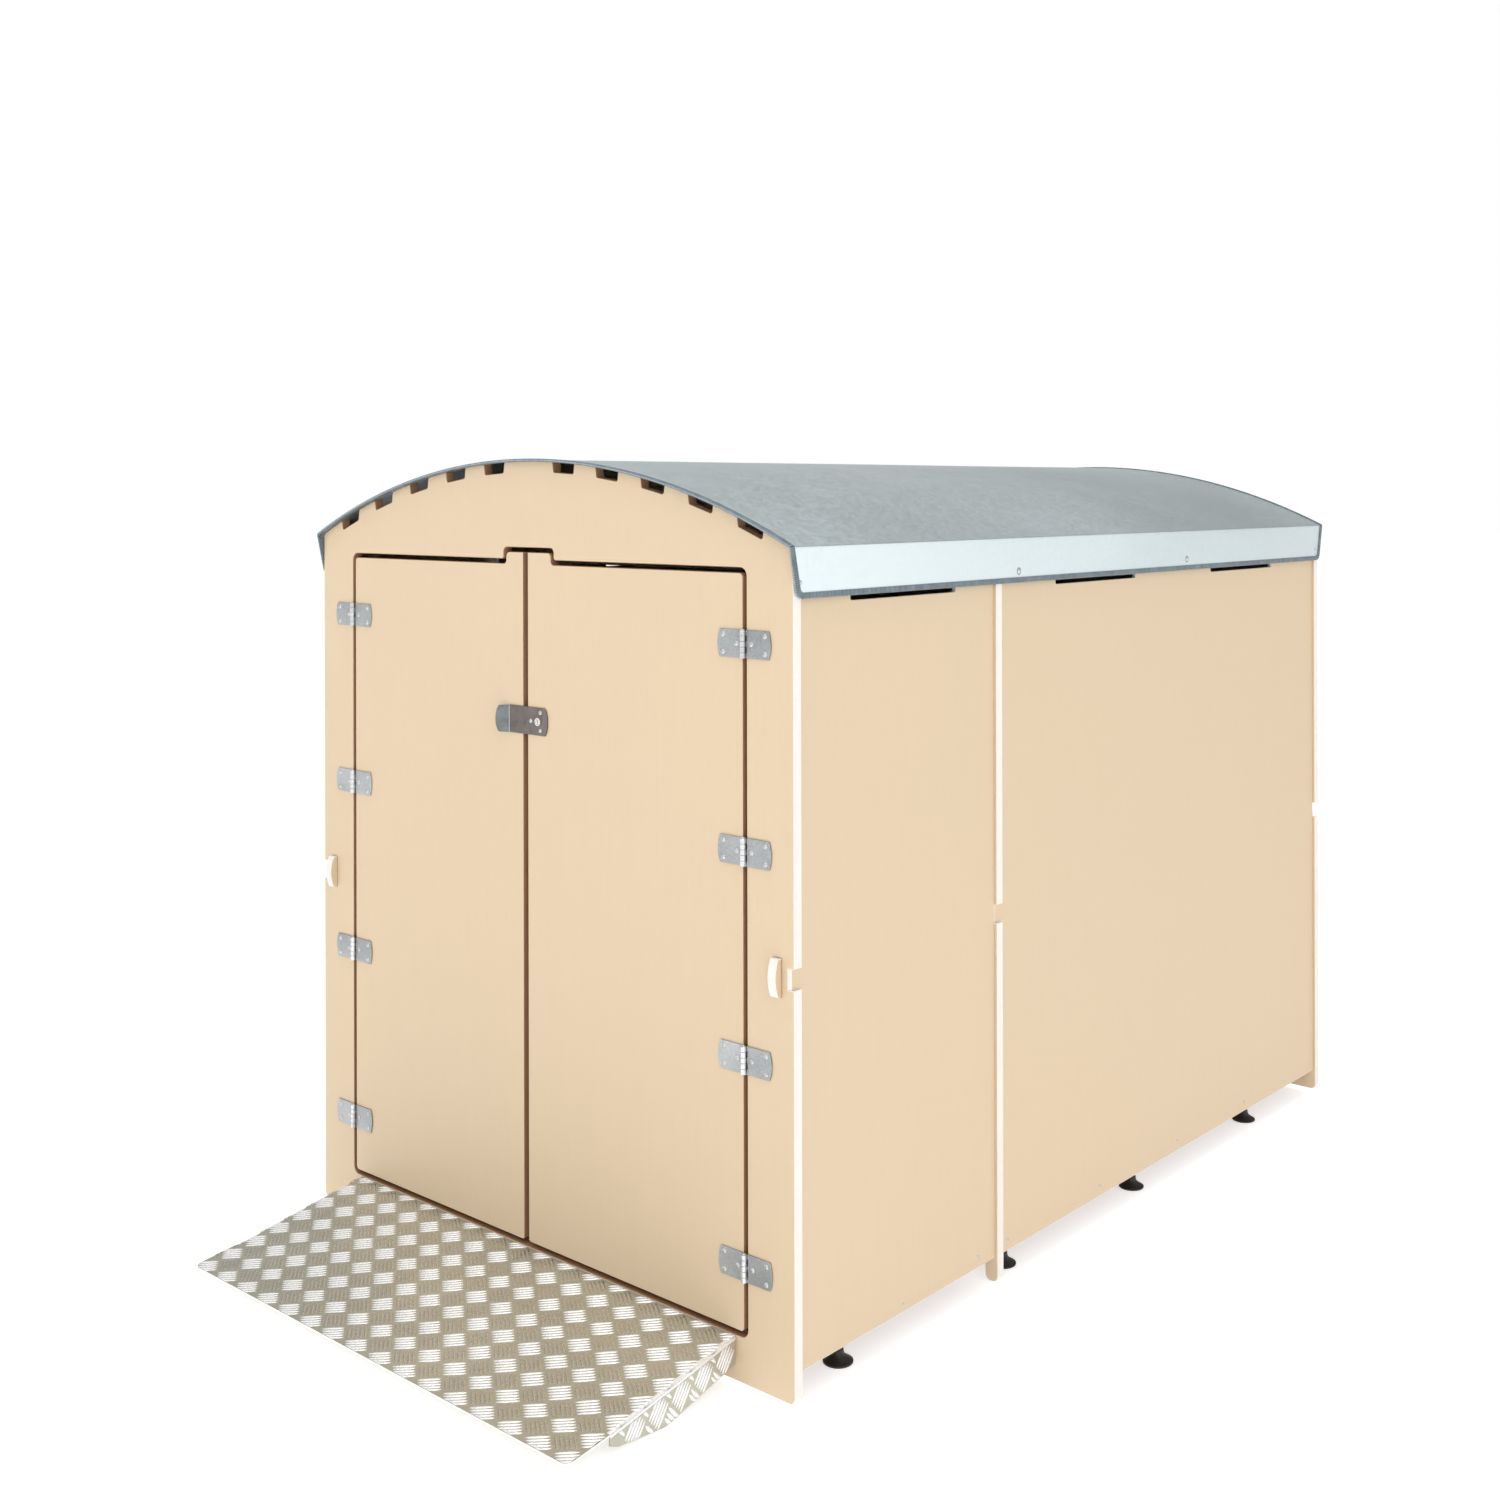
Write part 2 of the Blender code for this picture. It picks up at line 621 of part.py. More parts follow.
# ---------------------------------------------------------------- ramp
def build_ramp(aluminium, parent):
    """A folded tread plate: a sloping deck, a lip at its foot and a flange down each side."""
    top = [(FRONT - out, up) for out, up in RAMP_TOP]
    under = [(y, z - RAMP_T) for y, z in reversed(top)]
    deck = prism_mesh("ramp", top + under, -RAMP_HALF, RAMP_HALF, "X")
    ramp = add_object("ramp", deck, aluminium, parent)
    foot = [(FRONT - out, up) for out, up in FLANGE_FOOT]
    sill, knee = top[0], top[1]
    flange = [(sill[0], sill[1] - 0.001), (knee[0], knee[1] - 0.001), *foot]
    for sign in SIDES.values():
        edge = sign * RAMP_HALF
        mesh = prism_mesh("flange", flange, edge, edge - sign * RAMP_T, "X")
        combine(ramp, "UNION", mesh)


# ---------------------------------------------------------------- levelling feet
def build_foot(side, row, place, rubber, steel):
    """A conical pad with a threaded stem that runs up into the floor."""
    centre = pivot(f"foot_pivot_{side}_{row}", (SIDES[side] * FOOT_X, FRONT + place, 0))
    pad = [
        (0, 0), (PAD_R - 0.001, 0), (PAD_R, 0.002), (PAD_R, 0.004),
        (0.013, 0.016), (0.011, 0.022), (0.011, 0.027), (0, 0.027),
    ]
    stem = [
        (0, 0.027 + GAP), (STEM_R, 0.027 + GAP), (STEM_R, FLOOR_TOP - 0.003),
        (STEM_R - 0.001, FLOOR_TOP - 0.002), (0, FLOOR_TOP - 0.002),
    ]
    pad_name = f"foot_pad_{side}_{row}"
    stem_name = f"foot_stem_{side}_{row}"
    for name, profile, segments, finish in (
        (pad_name, pad, 28, rubber), (stem_name, stem, 14, steel),
    ):
        piece = add_object(name, lathe_mesh(name, profile, segments), finish)
        piece.parent = centre


# ---------------------------------------------------------------- assembly
def build():
    for obj in list(bpy.data.objects):
        bpy.data.objects.remove(obj)
    panel = material("panel_tan", (0.83, 0.66, 0.46), 0.55, 0.0)
    floor_ply = material("floor_ply", (0.42, 0.29, 0.18), 0.6, 0.0)
    galvanised = material("galvanised_sheet", (0.50, 0.56, 0.56), 0.42, 0.9)
    zinc = material("zinc_plate", (0.62, 0.65, 0.67), 0.35, 1.0)
    aluminium = material("tread_plate", (0.66, 0.66, 0.58), 0.35, 1.0)
    rubber = material("edge_rubber", (0.10, 0.15, 0.18), 0.6, 0.0)
    black = material("foot_black", (0.02, 0.02, 0.02), 0.5, 0.0)

    build_front_panel(panel)
    build_mid_rib(panel)
    build_rear_panel(panel)
    inside = FRONT + FRAME_T + GAP
    rib = FRONT + RIB_AT
    outside = FRONT + LENGTH - FRAME_T - GAP
    bays = {"front": (inside, rib - GAP), "rear": (rib + FRAME_T + GAP, outside)}
    for bay, (start, end) in bays.items():
        build_floor(bay, start, end, floor_ply)
        for side in SIDES:
            build_side_panel(bay, start, end, side, panel)
    for side in SIDES:
        build_tie_rail(side, panel)
    build_roof_sheet(galvanised)
    build_roof_edge_trim(rubber)

    for side, sign in SIDES.items():
        door_pivot = pivot(f"door_{side}_pivot", (sign * PIN_X, HINGE_Y, 0))
        build_door(side, panel, door_pivot)
        build_hinges(side, zinc, door_pivot)
        if side == "right":
            build_latch_plate(zinc, door_pivot)
            lock_pivot = pivot("lock_pivot", (LOCK_X, FRONT, LATCH_LEVEL))
            build_lock(zinc, door_pivot, lock_pivot)

    build_ramp(aluminium, pivot("ramp_pivot", (0, FRONT - RAMP_TOP[0][0], RAMP_TOP[0][1])))
    for side in SIDES:
        for row, place in enumerate(FOOT_PLACES, start=1):
            build_foot(side, row, place, black, zinc)


build()
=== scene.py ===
"""Looks of a calf hutch: plywood frames and doors under an arched sheet-metal roof."""
import math

import bpy
import numpy as np
from mathutils.geometry import tessellate_polygon
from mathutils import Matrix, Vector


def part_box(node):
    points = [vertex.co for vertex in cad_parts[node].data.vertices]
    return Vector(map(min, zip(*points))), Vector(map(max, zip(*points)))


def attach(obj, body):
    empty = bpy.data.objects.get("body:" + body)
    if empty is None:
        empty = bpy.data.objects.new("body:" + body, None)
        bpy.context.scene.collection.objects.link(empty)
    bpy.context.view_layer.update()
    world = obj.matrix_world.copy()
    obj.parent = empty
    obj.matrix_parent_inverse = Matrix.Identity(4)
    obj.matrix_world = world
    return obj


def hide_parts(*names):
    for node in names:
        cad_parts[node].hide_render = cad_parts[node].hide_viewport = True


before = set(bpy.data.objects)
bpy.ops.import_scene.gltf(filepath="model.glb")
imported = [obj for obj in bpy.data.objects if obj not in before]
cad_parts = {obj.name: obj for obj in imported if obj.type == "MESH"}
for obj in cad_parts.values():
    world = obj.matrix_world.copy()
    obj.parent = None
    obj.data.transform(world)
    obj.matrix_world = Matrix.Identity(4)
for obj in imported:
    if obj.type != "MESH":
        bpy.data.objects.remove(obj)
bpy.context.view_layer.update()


# ---------------------------------------------------------------- studio
# A plain white studio: a wide pale floor, a pale sky that is dimmer half way up, and four
# square soft lamps: in front on the right and the left, above, and a weak one on the right.
def linked(name, data):
    """An object for this data, linked to the scene."""
    made = bpy.data.objects.new(name, data)
    bpy.context.scene.collection.objects.link(made)
    return made


def node(tree, kind, inputs=None, **settings):
    """A shader node with its settings; an input takes a value or another node's socket."""
    made = tree.nodes.new("ShaderNode" + kind)
    for key, value in settings.items():
        setattr(made, key, value)
    for socket, value in (inputs or {}).items():
        feed(tree, made.inputs[socket], value)
    return made


def feed(tree, socket, value):
    """Gives a socket its value, or links another node's socket to it."""
    if isinstance(value, bpy.types.NodeSocket):
        tree.links.new(value, socket)
    else:
        socket.default_value = value


def ramp(tree, factor, *stops):
    """A colour ramp through (position, colour or grey) stops, driven by a socket."""
    made = node(tree, "ValToRGB", {0: factor})
    points = made.color_ramp.elements
    while len(points) < len(stops):
        points.new(0.5)
    for point, (position, colour) in zip(points, stops):
        point.position = position
        rgb = (colour,) * 3 if isinstance(colour, (int, float)) else colour
        point.color = (*rgb, 1.0)
    return made.outputs["Color"]


camera = linked("camera", bpy.data.cameras.new("camera"))
camera.location = (2.8203, -3.3362, 1.6834)
camera.rotation_euler = (math.radians(90.07), math.radians(0.13), math.radians(40.82))
camera.data.lens = 42.06
camera.data.sensor_width = 36.0
camera.data.shift_x = -0.0276
camera.data.shift_y = -0.1750
camera.data.clip_end = 200.0
bpy.context.scene.camera = camera
bpy.context.scene.view_settings.view_transform = "Standard"

world = bpy.data.worlds.new("studio")
bpy.context.scene.world = world
world.use_nodes = True
sky = world.node_tree
sky.nodes.clear()
upward = node(sky, "SeparateXYZ", {0: node(sky, "TexCoord").outputs["Generated"]})
glow = ramp(
    sky, upward.outputs["Z"],
    (0.0, 0.95), (0.10, 0.78), (0.28, 0.40), (0.60, 0.44), (1.0, 1.1),
)
lit = node(sky, "Background", {"Color": glow, "Strength": 0.80})
seen = node(sky, "Background", {"Color": (1, 1, 1, 1), "Strength": 1.0})
camera_ray = node(sky, "LightPath").outputs["Is Camera Ray"]
both = node(sky, "MixShader", {0: camera_ray, 1: lit.outputs[0], 2: seen.outputs[0]})
node(sky, "OutputWorld", {0: both.outputs[0]})


def softbox(name, place, size, power):
    """A square lamp that looks at the hutch's middle."""
    lamp = linked(name, bpy.data.lights.new(name, "AREA"))
    lamp.data.size = size
    lamp.data.energy = power
    lamp.location = place
    aim = -lamp.location.copy()
    aim.z += 0.8
    lamp.rotation_euler = aim.to_track_quat("-Z", "Y").to_euler()


softbox("lamp_front_right", (5.4, -4.4, 4.6), 5.0, 150)
softbox("lamp_front_left", (-3.0, -6.2, 4.0), 5.0, 90)
softbox("lamp_above", (0.2, -0.6, 6.2), 4.5, 120)
softbox("lamp_right", (5.6, 3.6, 1.9), 3.0, 22)

floor_mesh = bpy.data.meshes.new("studio_floor")
floor_mesh.from_pydata([(-60, -60, 0), (60, -60, 0), (60, 60, 0), (-60, 60, 0)], [], [(0, 1, 2, 3)])
studio_floor = linked("studio_floor", floor_mesh)
pale = bpy.data.materials.new("studio_floor")
pale.use_nodes = True
pale_shader = pale.node_tree.nodes["Principled BSDF"]
pale_shader.inputs["Base Color"].default_value = (0.85, 0.85, 0.85, 1)
pale_shader.inputs["Roughness"].default_value = 0.9
pale_shader.inputs["Emission Color"].default_value = (1, 1, 1, 1)
pale_shader.inputs["Emission Strength"].default_value = 0.58
floor_mesh.materials.append(pale)

# ---------------------------------------------------------------- front panel
# One sheet of 22 mm birch plywood with a tan film on both faces, cut by a router: an arched
# top with vents, a double doorway, notches for the side panels and slots for the tie rails.
FRAME_T = 0.022
GAP = 0.0003
low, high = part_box("front_panel")
FRONT, HALF = low.y, high.x
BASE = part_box("mid_rib")[0].z
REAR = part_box("rear_panel")[1].y
ARCH_R = 1.721
ARCH_MIDDLE = BASE + 0.012
FLOOR_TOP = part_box("floor_front")[1].z
JOINT_LEVEL = BASE + 0.776
NOTCH_DEPTH = 0.0155
NOTCH_HALF = 0.020
TIE_X = 0.6935
TIE_T = 0.019
TIE_H = 0.070
VENTS = (0.628, 0.500, 0.370, 0.240, 0.110)
VENT_HALF = 0.033
VENT_DEPTH = 0.023
DOORWAY_HALF = 0.618
DOORWAY_TOP = BASE + 1.526
RECESS_HALF = 0.079
RECESS_TOP = BASE + 1.551
TAN = (0.705, 0.552, 0.375)


def arch(x, radius=ARCH_R):
    """Height of a circle of this radius about the arch's middle line, at x."""
    return ARCH_MIDDLE + np.sqrt(radius ** 2 - np.asarray(x) ** 2)


def rounded(corners, steps=6):
    """Closed outline of (a, b, radius) corners, as an array of points.

    A corner of radius 0 is one point. Any other is an arc from one tangent point to the
    other: its centre stands radius / sin(half angle) along the bisector. A point 2 mm
    before and after each arc keeps the straight parts flat.
    """
    points = []
    places = np.array([corner[:2] for corner in corners])
    for index, (a, b, radius) in enumerate(corners):
        here = places[index]
        if radius == 0:
            points.append(here[None])
            continue
        back = places[index - 1] - here
        ahead = places[(index + 1) % len(corners)] - here
        back, ahead = back / np.hypot(*back), ahead / np.hypot(*ahead)
        half_angle = math.acos(np.clip(back @ ahead, -1, 1)) / 2
        reach = radius / math.tan(half_angle)
        middle = (back + ahead) / np.hypot(*(back + ahead))
        centre = here + middle * radius / math.sin(half_angle)
        start, stop = here + back * reach - centre, here + ahead * reach - centre
        turn = math.atan2(start[0] * stop[1] - start[1] * stop[0], start @ stop)
        angle = math.atan2(start[1], start[0]) + turn * np.linspace(0, 1, steps + 1)[:, None]
        arc = centre + radius * np.hstack([np.cos(angle), np.sin(angle)])
        points += [(here + back * (reach + 0.002))[None], arc, (here + ahead * (reach + 0.002))[None]]
    return np.vstack(points)


def mesh_object(name, points, faces, materials, slots=None, uv=None, sharp=38):
    """An object from arrays of points and faces; edges sharper than an angle stay sharp."""
    mesh = bpy.data.meshes.new(name)
    mesh.from_pydata(np.asarray(points, float).tolist(), [], faces)
    for material in materials:
        mesh.materials.append(material)
    if slots is not None:
        mesh.polygons.foreach_set("material_index", np.asarray(slots, np.int32))
    if uv is not None:
        mesh.uv_layers.new(name="cut").uv.foreach_set("vector", np.asarray(uv, np.float32).ravel())
    mesh.polygons.foreach_set("use_smooth", np.ones(len(mesh.polygons), bool))
    mesh.update()
    mesh.set_sharp_from_angle(angle=math.radians(sharp))
    return linked(name, mesh)


def circle(radius, count):
    """Points of a circle about the origin."""
    angle = np.linspace(0, math.tau, count, endpoint=False)
    return radius * np.stack([np.cos(angle), np.sin(angle)], 1)


def mitres(loop):
    """For each corner of a closed loop, the step that moves both its sides 1 to the left."""
    side = np.roll(loop, -1, 0) - loop
    side /= np.linalg.norm(side, axis=1)[:, None]
    left = np.stack([-side[:, 1], side[:, 0]], 1)
    before = np.roll(left, 1, 0)
    return (left + before) / (1 + (left * before).sum(1))[:, None]


def area(loop):
    """Signed area of a closed loop, positive where it runs anticlockwise."""
    ahead = np.roll(loop, -1, 0)
    return (loop[:, 0] * ahead[:, 1] - loop[:, 1] * ahead[:, 0]).sum() / 2


def board_arrays(outline, holes, near, far, axis, arris):
    """Points, faces, slots and UVs of a board cut to an outline, between two planes.

    The rim is a surface of two parameters: point (k, i) is outline[i] + mitre[i] * inset[k]
    at near + depth[k], where (inset, depth) runs round the small arris, over the cut edge
    and round the other arris. Triangles fill both faces between the innermost rings. The UV
    is (length along the outline, depth) on the rim and (a, b) on the faces, in metres. Faces
    take slot 0, the outer rim slot 1 and the holes' rims slot 2.
    """
    thick = far - near
    turn = np.radians([0, 30, 60, 90])
    inset = arris * (1 - np.sin(turn))
    depth = arris * (1 - np.cos(turn))
    flat = min(1.2 * arris, thick / 4)
    inset = np.concatenate([[arris + flat], inset, [0, 0], inset[::-1], [arris + flat]])
    depth = np.concatenate([[0], depth, [arris + flat / 2, thick - arris - flat / 2],
                            thick - depth[::-1], [thick]])
    rows = len(inset)
    loops = [outline if area(outline) > 0 else outline[::-1]]
    loops += [hole if area(hole) < 0 else hole[::-1] for hole in holes]
    points, faces, slots, uv, first, last = [], [], [], [], [], []
    start = 0
    for loop in loops:
        count = len(loop)
        flat_ring = loop[None] + mitres(loop)[None] * inset[:, None, None]
        height = np.broadcast_to((near + depth)[:, None, None], (rows, count, 1))
        points.append(np.concatenate([flat_ring, height], 2).reshape(-1, 3))
        k, i = np.meshgrid(np.arange(rows - 1), np.arange(count), indexing="ij")
        j = (i + 1) % count
        here = start + k * count + i
        quads = np.stack([here, start + k * count + j, start + (k + 1) * count + j,
                          start + (k + 1) * count + i], -1)
        faces.append(quads.reshape(-1, 4))
        cut_slot = 1 if len(points) == 1 else 2
        slots.append(np.where((k == 0) | (k == rows - 2), 0, cut_slot).ravel())
        length = np.linalg.norm(np.roll(loop, -1, 0) - loop, axis=1)
        along = np.cumsum(length) - length
        s0, s1 = along[i], (along + length)[i]
        d0, d1 = depth[k], depth[k + 1]
        uv.append(np.stack([s0, d0, s1, d0, s1, d1, s0, d1], -1).reshape(-1, 2))
        first.append(np.arange(start, start + count))
        last.append(np.arange(start + (rows - 1) * count, start + rows * count))
        start += rows * count
    points = np.vstack(points)
    triangles = np.array(tessellate_polygon([points[ring].tolist() for ring in first]))
    corners = points[np.concatenate(first)][triangles][..., :2]
    one, two = corners[:, 1] - corners[:, 0], corners[:, 2] - corners[:, 0]
    if (one[:, 0] * two[:, 1] - one[:, 1] * two[:, 0]).sum() < 0:
        triangles = triangles[:, ::-1]
    near_face = np.concatenate(first)[triangles[:, ::-1]]
    far_face = np.concatenate(last)[triangles]
    for cap in (near_face, far_face):
        uv.append(points[cap].reshape(-1, 3)[:, :2])
        slots.append(np.zeros(len(cap), int))
    order = {"X": (2, 0, 1), "Y": (0, 2, 1), "Z": (0, 1, 2)}[axis]
    points = points[:, order]
    quads = np.vstack(faces)
    faces = quads.tolist() + near_face.tolist() + far_face.tolist()
    uv = np.vstack(uv)
    if axis == "Y":
        cut = len(quads) * 4
        uv = np.vstack([uv[:cut].reshape(-1, 4, 2)[:, ::-1].reshape(-1, 2),
                        uv[cut:].reshape(-1, 3, 2)[:, ::-1].reshape(-1, 2)])
        faces = [face[::-1] for face in faces]
    return points, faces, np.concatenate(slots), uv


def board(name, outline, holes, near, far, axis, materials, arris=0.0012):
    """A board as one object; board_arrays gives the formula."""
    points, faces, slots, uv = board_arrays(outline, holes, near, far, axis, arris)
    return mesh_object(name, points, faces, materials, np.minimum(slots, len(materials) - 1), uv)


def effect(name, inputs, outputs):
    """An empty shader node group, the sockets that it is given, and its output node."""
    group = bpy.data.node_groups.new(name, "ShaderNodeTree")
    for label, kind, value in inputs:
        socket = group.interface.new_socket(label, in_out="INPUT", socket_type="NodeSocket" + kind)
        socket.default_value = value
    for label, kind in outputs:
        group.interface.new_socket(label, in_out="OUTPUT", socket_type="NodeSocket" + kind)
    given = group.nodes.new("NodeGroupInput").outputs
    return group, given, group.nodes.new("NodeGroupOutput")


def maths(tree, operation, *values):
    """The output of a Math node."""
    return node(tree, "Math", dict(enumerate(values)), operation=operation).outputs[0]


def around(tree, base, value, spread):
    """The base plus the spread times how far a pattern's value is from a half."""
    from_half = maths(tree, "SUBTRACT", value, 0.5)
    return maths(tree, "MULTIPLY_ADD", from_half, spread, base)


def mixed(tree, factor, first, second, blend="MIX"):
    """The colour that lies between two sockets' colours, by a factor."""
    inputs = {0: factor, 6: first, 7: second}
    return node(tree, "Mix", inputs, data_type="RGBA", blend_type=blend).outputs[2]


def noise(tree, where, scale, detail=3.0, stretch=None):
    """A noise pattern's value at a place, stretched by a Mapping node if asked."""
    if stretch is not None:
        where = node(tree, "Mapping", {"Vector": where, "Scale": stretch}).outputs[0]
    made = node(tree, "TexNoise", {"Vector": where, "Scale": scale, "Detail": detail})
    return made.outputs["Fac"]


def filled_in(group, end, results):
    """Links a group's results to its output sockets."""
    for label, socket in results.items():
        group.links.new(socket, end.inputs[label])
    return group


def new_material(name, group, values, links, **sockets):
    """A material: a group placed with its own values, its outputs linked to the shader.

    Each other keyword is a plain value on the shader's own socket.
    """
    material = bpy.data.materials.new(name)
    material.use_nodes = True
    tree = material.node_tree
    shader = tree.nodes["Principled BSDF"]
    for socket, value in sockets.items():
        shader.inputs[socket.replace("_", " ")].default_value = value
    placed = node(tree, "Group")
    placed.node_tree = group
    for label, value in values.items():
        placed.inputs[label].default_value = value
    for label, target in links.items():
        if target == "Height":
            bump = node(tree, "Bump", {"Height": placed.outputs[label], "Distance": 0.001})
            bump.inputs["Strength"].default_value = 0.6
            tree.links.new(bump.outputs["Normal"], shader.inputs["Normal"])
        else:
            tree.links.new(placed.outputs[label], shader.inputs[target])
    return material


# film over plywood: a flat colour with faint cloudy unevenness, the veneer's grain just
# telegraphing through it, and a fine pebble in the gloss
tree, given, end = effect(
    "film_face",
    [("Colour", "Color", (*TAN, 1)), ("Grain Scale", "Vector", (1, 1, 1)), ("Grain", "Float", 0.03),
     ("Roughness", "Float", 0.45)],
    [("Colour", "Color"), ("Roughness", "Float"), ("Height", "Float")],
)
place = node(tree, "TexCoord").outputs["Object"]
cloud = noise(tree, place, 2.3, 2.0)
stretched = node(tree, "VectorMath", {0: place, 1: given["Grain Scale"]}, operation="MULTIPLY")
grain = noise(tree, stretched.outputs[0], 1.0, 5.0)
pebble = noise(tree, place, 900.0, 2.0)
shade = around(tree, around(tree, 1.0, grain, given["Grain"]), cloud, 0.045)
level = node(tree, "CombineColor", {0: shade, 1: shade, 2: shade}).outputs[0]
film_colour = mixed(tree, 1.0, given["Colour"], level, "MULTIPLY")
gloss = around(tree, given["Roughness"], cloud, 0.25)
height = maths(tree, "MULTIPLY_ADD", grain, 0.5, maths(tree, "MULTIPLY", pebble, 0.25))
film_face = filled_in(tree, end, {"Colour": film_colour, "Roughness": gloss, "Height": height})

# cut edge of plywood: thin veneers, alternately along and across the grain, lacquered pale
tree, given, end = effect(
    "ply_edge",
    [("Pale", "Color", (0.97, 0.945, 0.91, 1)), ("Dark", "Color", (0.80, 0.69, 0.57, 1)),
     ("Veneers", "Float", 700.0)],
    [("Colour", "Color"), ("Roughness", "Float"), ("Height", "Float")],
)
cut = node(tree, "SeparateXYZ", {0: node(tree, "UVMap", uv_map="cut").outputs[0]})
place = node(tree, "TexCoord").outputs["Object"]
wander = maths(tree, "MULTIPLY", noise(tree, place, 9.0, 2.0), 0.0006)
layer = maths(tree, "MULTIPLY", maths(tree, "ADD", cut.outputs["Y"], wander), given["Veneers"])
wave = maths(tree, "MULTIPLY_ADD", maths(tree, "SINE", maths(tree, "MULTIPLY", layer, math.pi)), 0.5, 0.5)
fibre = noise(tree, place, 260.0, 4.0)
dark = maths(tree, "MULTIPLY", maths(tree, "SMOOTH_MIN", wave, 0.9, 0.1), 0.42)
dark = maths(tree, "ADD", dark, maths(tree, "MULTIPLY", maths(tree, "SUBTRACT", fibre, 0.5), 0.5))
tone = mixed(tree, dark, given["Pale"], given["Dark"])
rough = maths(tree, "MULTIPLY_ADD", fibre, 0.25, 0.45)
ply_edge = filled_in(tree, end, {"Colour": tone, "Roughness": rough, "Height": wave})

SMOOTH = {"Colour": "Base Color", "Roughness": "Roughness"}
RELIEF = {**SMOOTH, "Height": "Height"}
tan_upright = new_material(
    "tan_film_upright", film_face,
    {"Grain Scale": (160.0, 160.0, 7.0), "Grain": 0.035, "Roughness": 0.46}, RELIEF, IOR=1.48,
)
edge_wood = new_material("ply_cut_edge", ply_edge, {}, RELIEF)
# a brown copy of the cut edge: painted shade for the cut faces of the doors and the vents
edge_painted_shade = new_material(
    "ply_cut_edge_painted_shade", ply_edge,
    {"Pale": (0.44, 0.24, 0.125, 1), "Dark": (0.20, 0.10, 0.052, 1)}, RELIEF,
)

side_corners = [
    (HALF, BASE, 0.014), (HALF, JOINT_LEVEL - NOTCH_HALF, 0),
    (HALF - NOTCH_DEPTH, JOINT_LEVEL - NOTCH_HALF, 0),
    (HALF - NOTCH_DEPTH, JOINT_LEVEL + NOTCH_HALF, 0),
    (HALF, JOINT_LEVEL + NOTCH_HALF, 0), (HALF, float(arch(HALF)), 0),
]


def along_arch(start, stop):
    """(x, height, 0) corners on the arch between two places, about 15 mm apart, ends out."""
    count = max(2, round(abs(stop - start) / 0.015))
    xs = np.linspace(start, stop, count + 1)[1:-1]
    return [(x, z, 0) for x, z in zip(xs.tolist(), arch(xs).tolist())]


def mirrored_corners(half):
    """Corners of a whole outline from its right half, which runs from bottom to top."""
    return half + [(-x, z, radius) for x, z, radius in reversed(half)]


vented = list(side_corners)
closed_top = rounded(mirrored_corners(side_corners + along_arch(HALF, 0)))
at = HALF
for middle in VENTS:
    for edge, inner in ((middle + VENT_HALF, -0.003), (middle - VENT_HALF, 0.003)):
        if inner < 0:
            vented += along_arch(at, edge) + [(edge, float(arch(edge)), 0)]
        floor_of_vent = (edge + inner, float(arch(edge + inner)) - VENT_DEPTH, 0.004)
        vented += [floor_of_vent] if inner < 0 else [floor_of_vent, (edge, float(arch(edge)), 0)]
    at = middle - VENT_HALF
vented += along_arch(at, 0)
FRAME_OUTLINE = rounded(mirrored_corners(vented))

DOORWAY = rounded(mirrored_corners([
    (DOORWAY_HALF, FLOOR_TOP, 0.016), (DOORWAY_HALF, DOORWAY_TOP, 0.016),
    (RECESS_HALF, DOORWAY_TOP, 0.006), (RECESS_HALF, RECESS_TOP, 0.010),
]))


def tie_slots():
    """The two slots that the tie rails pass through."""
    wide, tall = TIE_T / 2 + GAP, TIE_H / 2 + GAP
    box = np.array([(-wide, -tall), (wide, -tall), (wide, tall), (-wide, tall)])
    return [box + (side * TIE_X, JOINT_LEVEL) for side in (-1, 1)]


def fitted(piece, body, slot, *cad_nodes):
    """A piece attached to the body that carries it, with the CAD nodes it stands for hidden; its slot is
    not used.
    """
    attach(piece, body)
    if cad_nodes:
        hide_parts(*cad_nodes)
    return piece


def shell_board(name, slot, *shape, **more):
    """A board that stands for the CAD node of its own name and stays with the shell."""
    return fitted(board(name + "_board", *shape, **more), "shell", slot, name)


front_panel = shell_board(
    "front_panel", "panel", FRAME_OUTLINE, [DOORWAY, *tie_slots()],
    FRONT, FRONT + FRAME_T, "Y", [tan_upright, edge_wood, edge_painted_shade],
)
# the outer rim above the sides' tops, round the arch and into the vents, takes the brown edge: painted
# shade in the vents
for face in front_panel.data.polygons:
    if face.material_index == 1 and face.center.z > float(arch(HALF)):
        face.material_index = 2

# ---------------------------------------------------------------- middle rib
# A portal of the same plywood between the two bays: its feet are two narrow toes with
# rounded tips, and its opening is as wide as the bays need.
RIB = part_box("mid_rib")[0].y
UNDERSIDE = BASE + 0.0525
TOE_W = 0.032
RIB_STILE = 0.100
rib_half = [
    (HALF - TOE_W, UNDERSIDE, 0.004), (HALF - TOE_W, BASE, 0.013), *side_corners,
    *along_arch(HALF, 0),
]
portal = rounded(mirrored_corners([
    (HALF - RIB_STILE, FLOOR_TOP, 0.040), (HALF - RIB_STILE, BASE + 1.480, 0.080),
]))
shell_board(
    "mid_rib", "panel", rounded(mirrored_corners(rib_half)), [portal, *tie_slots()],
    RIB, RIB + FRAME_T, "Y", [tan_upright, edge_wood],
)

# ---------------------------------------------------------------- rear panel
# A closed panel of the same plywood, with the front panel's outline but no vents.
shell_board(
    "rear_panel", "panel", closed_top, [], REAR - FRAME_T, REAR, "Y", [tan_upright, edge_wood],
)

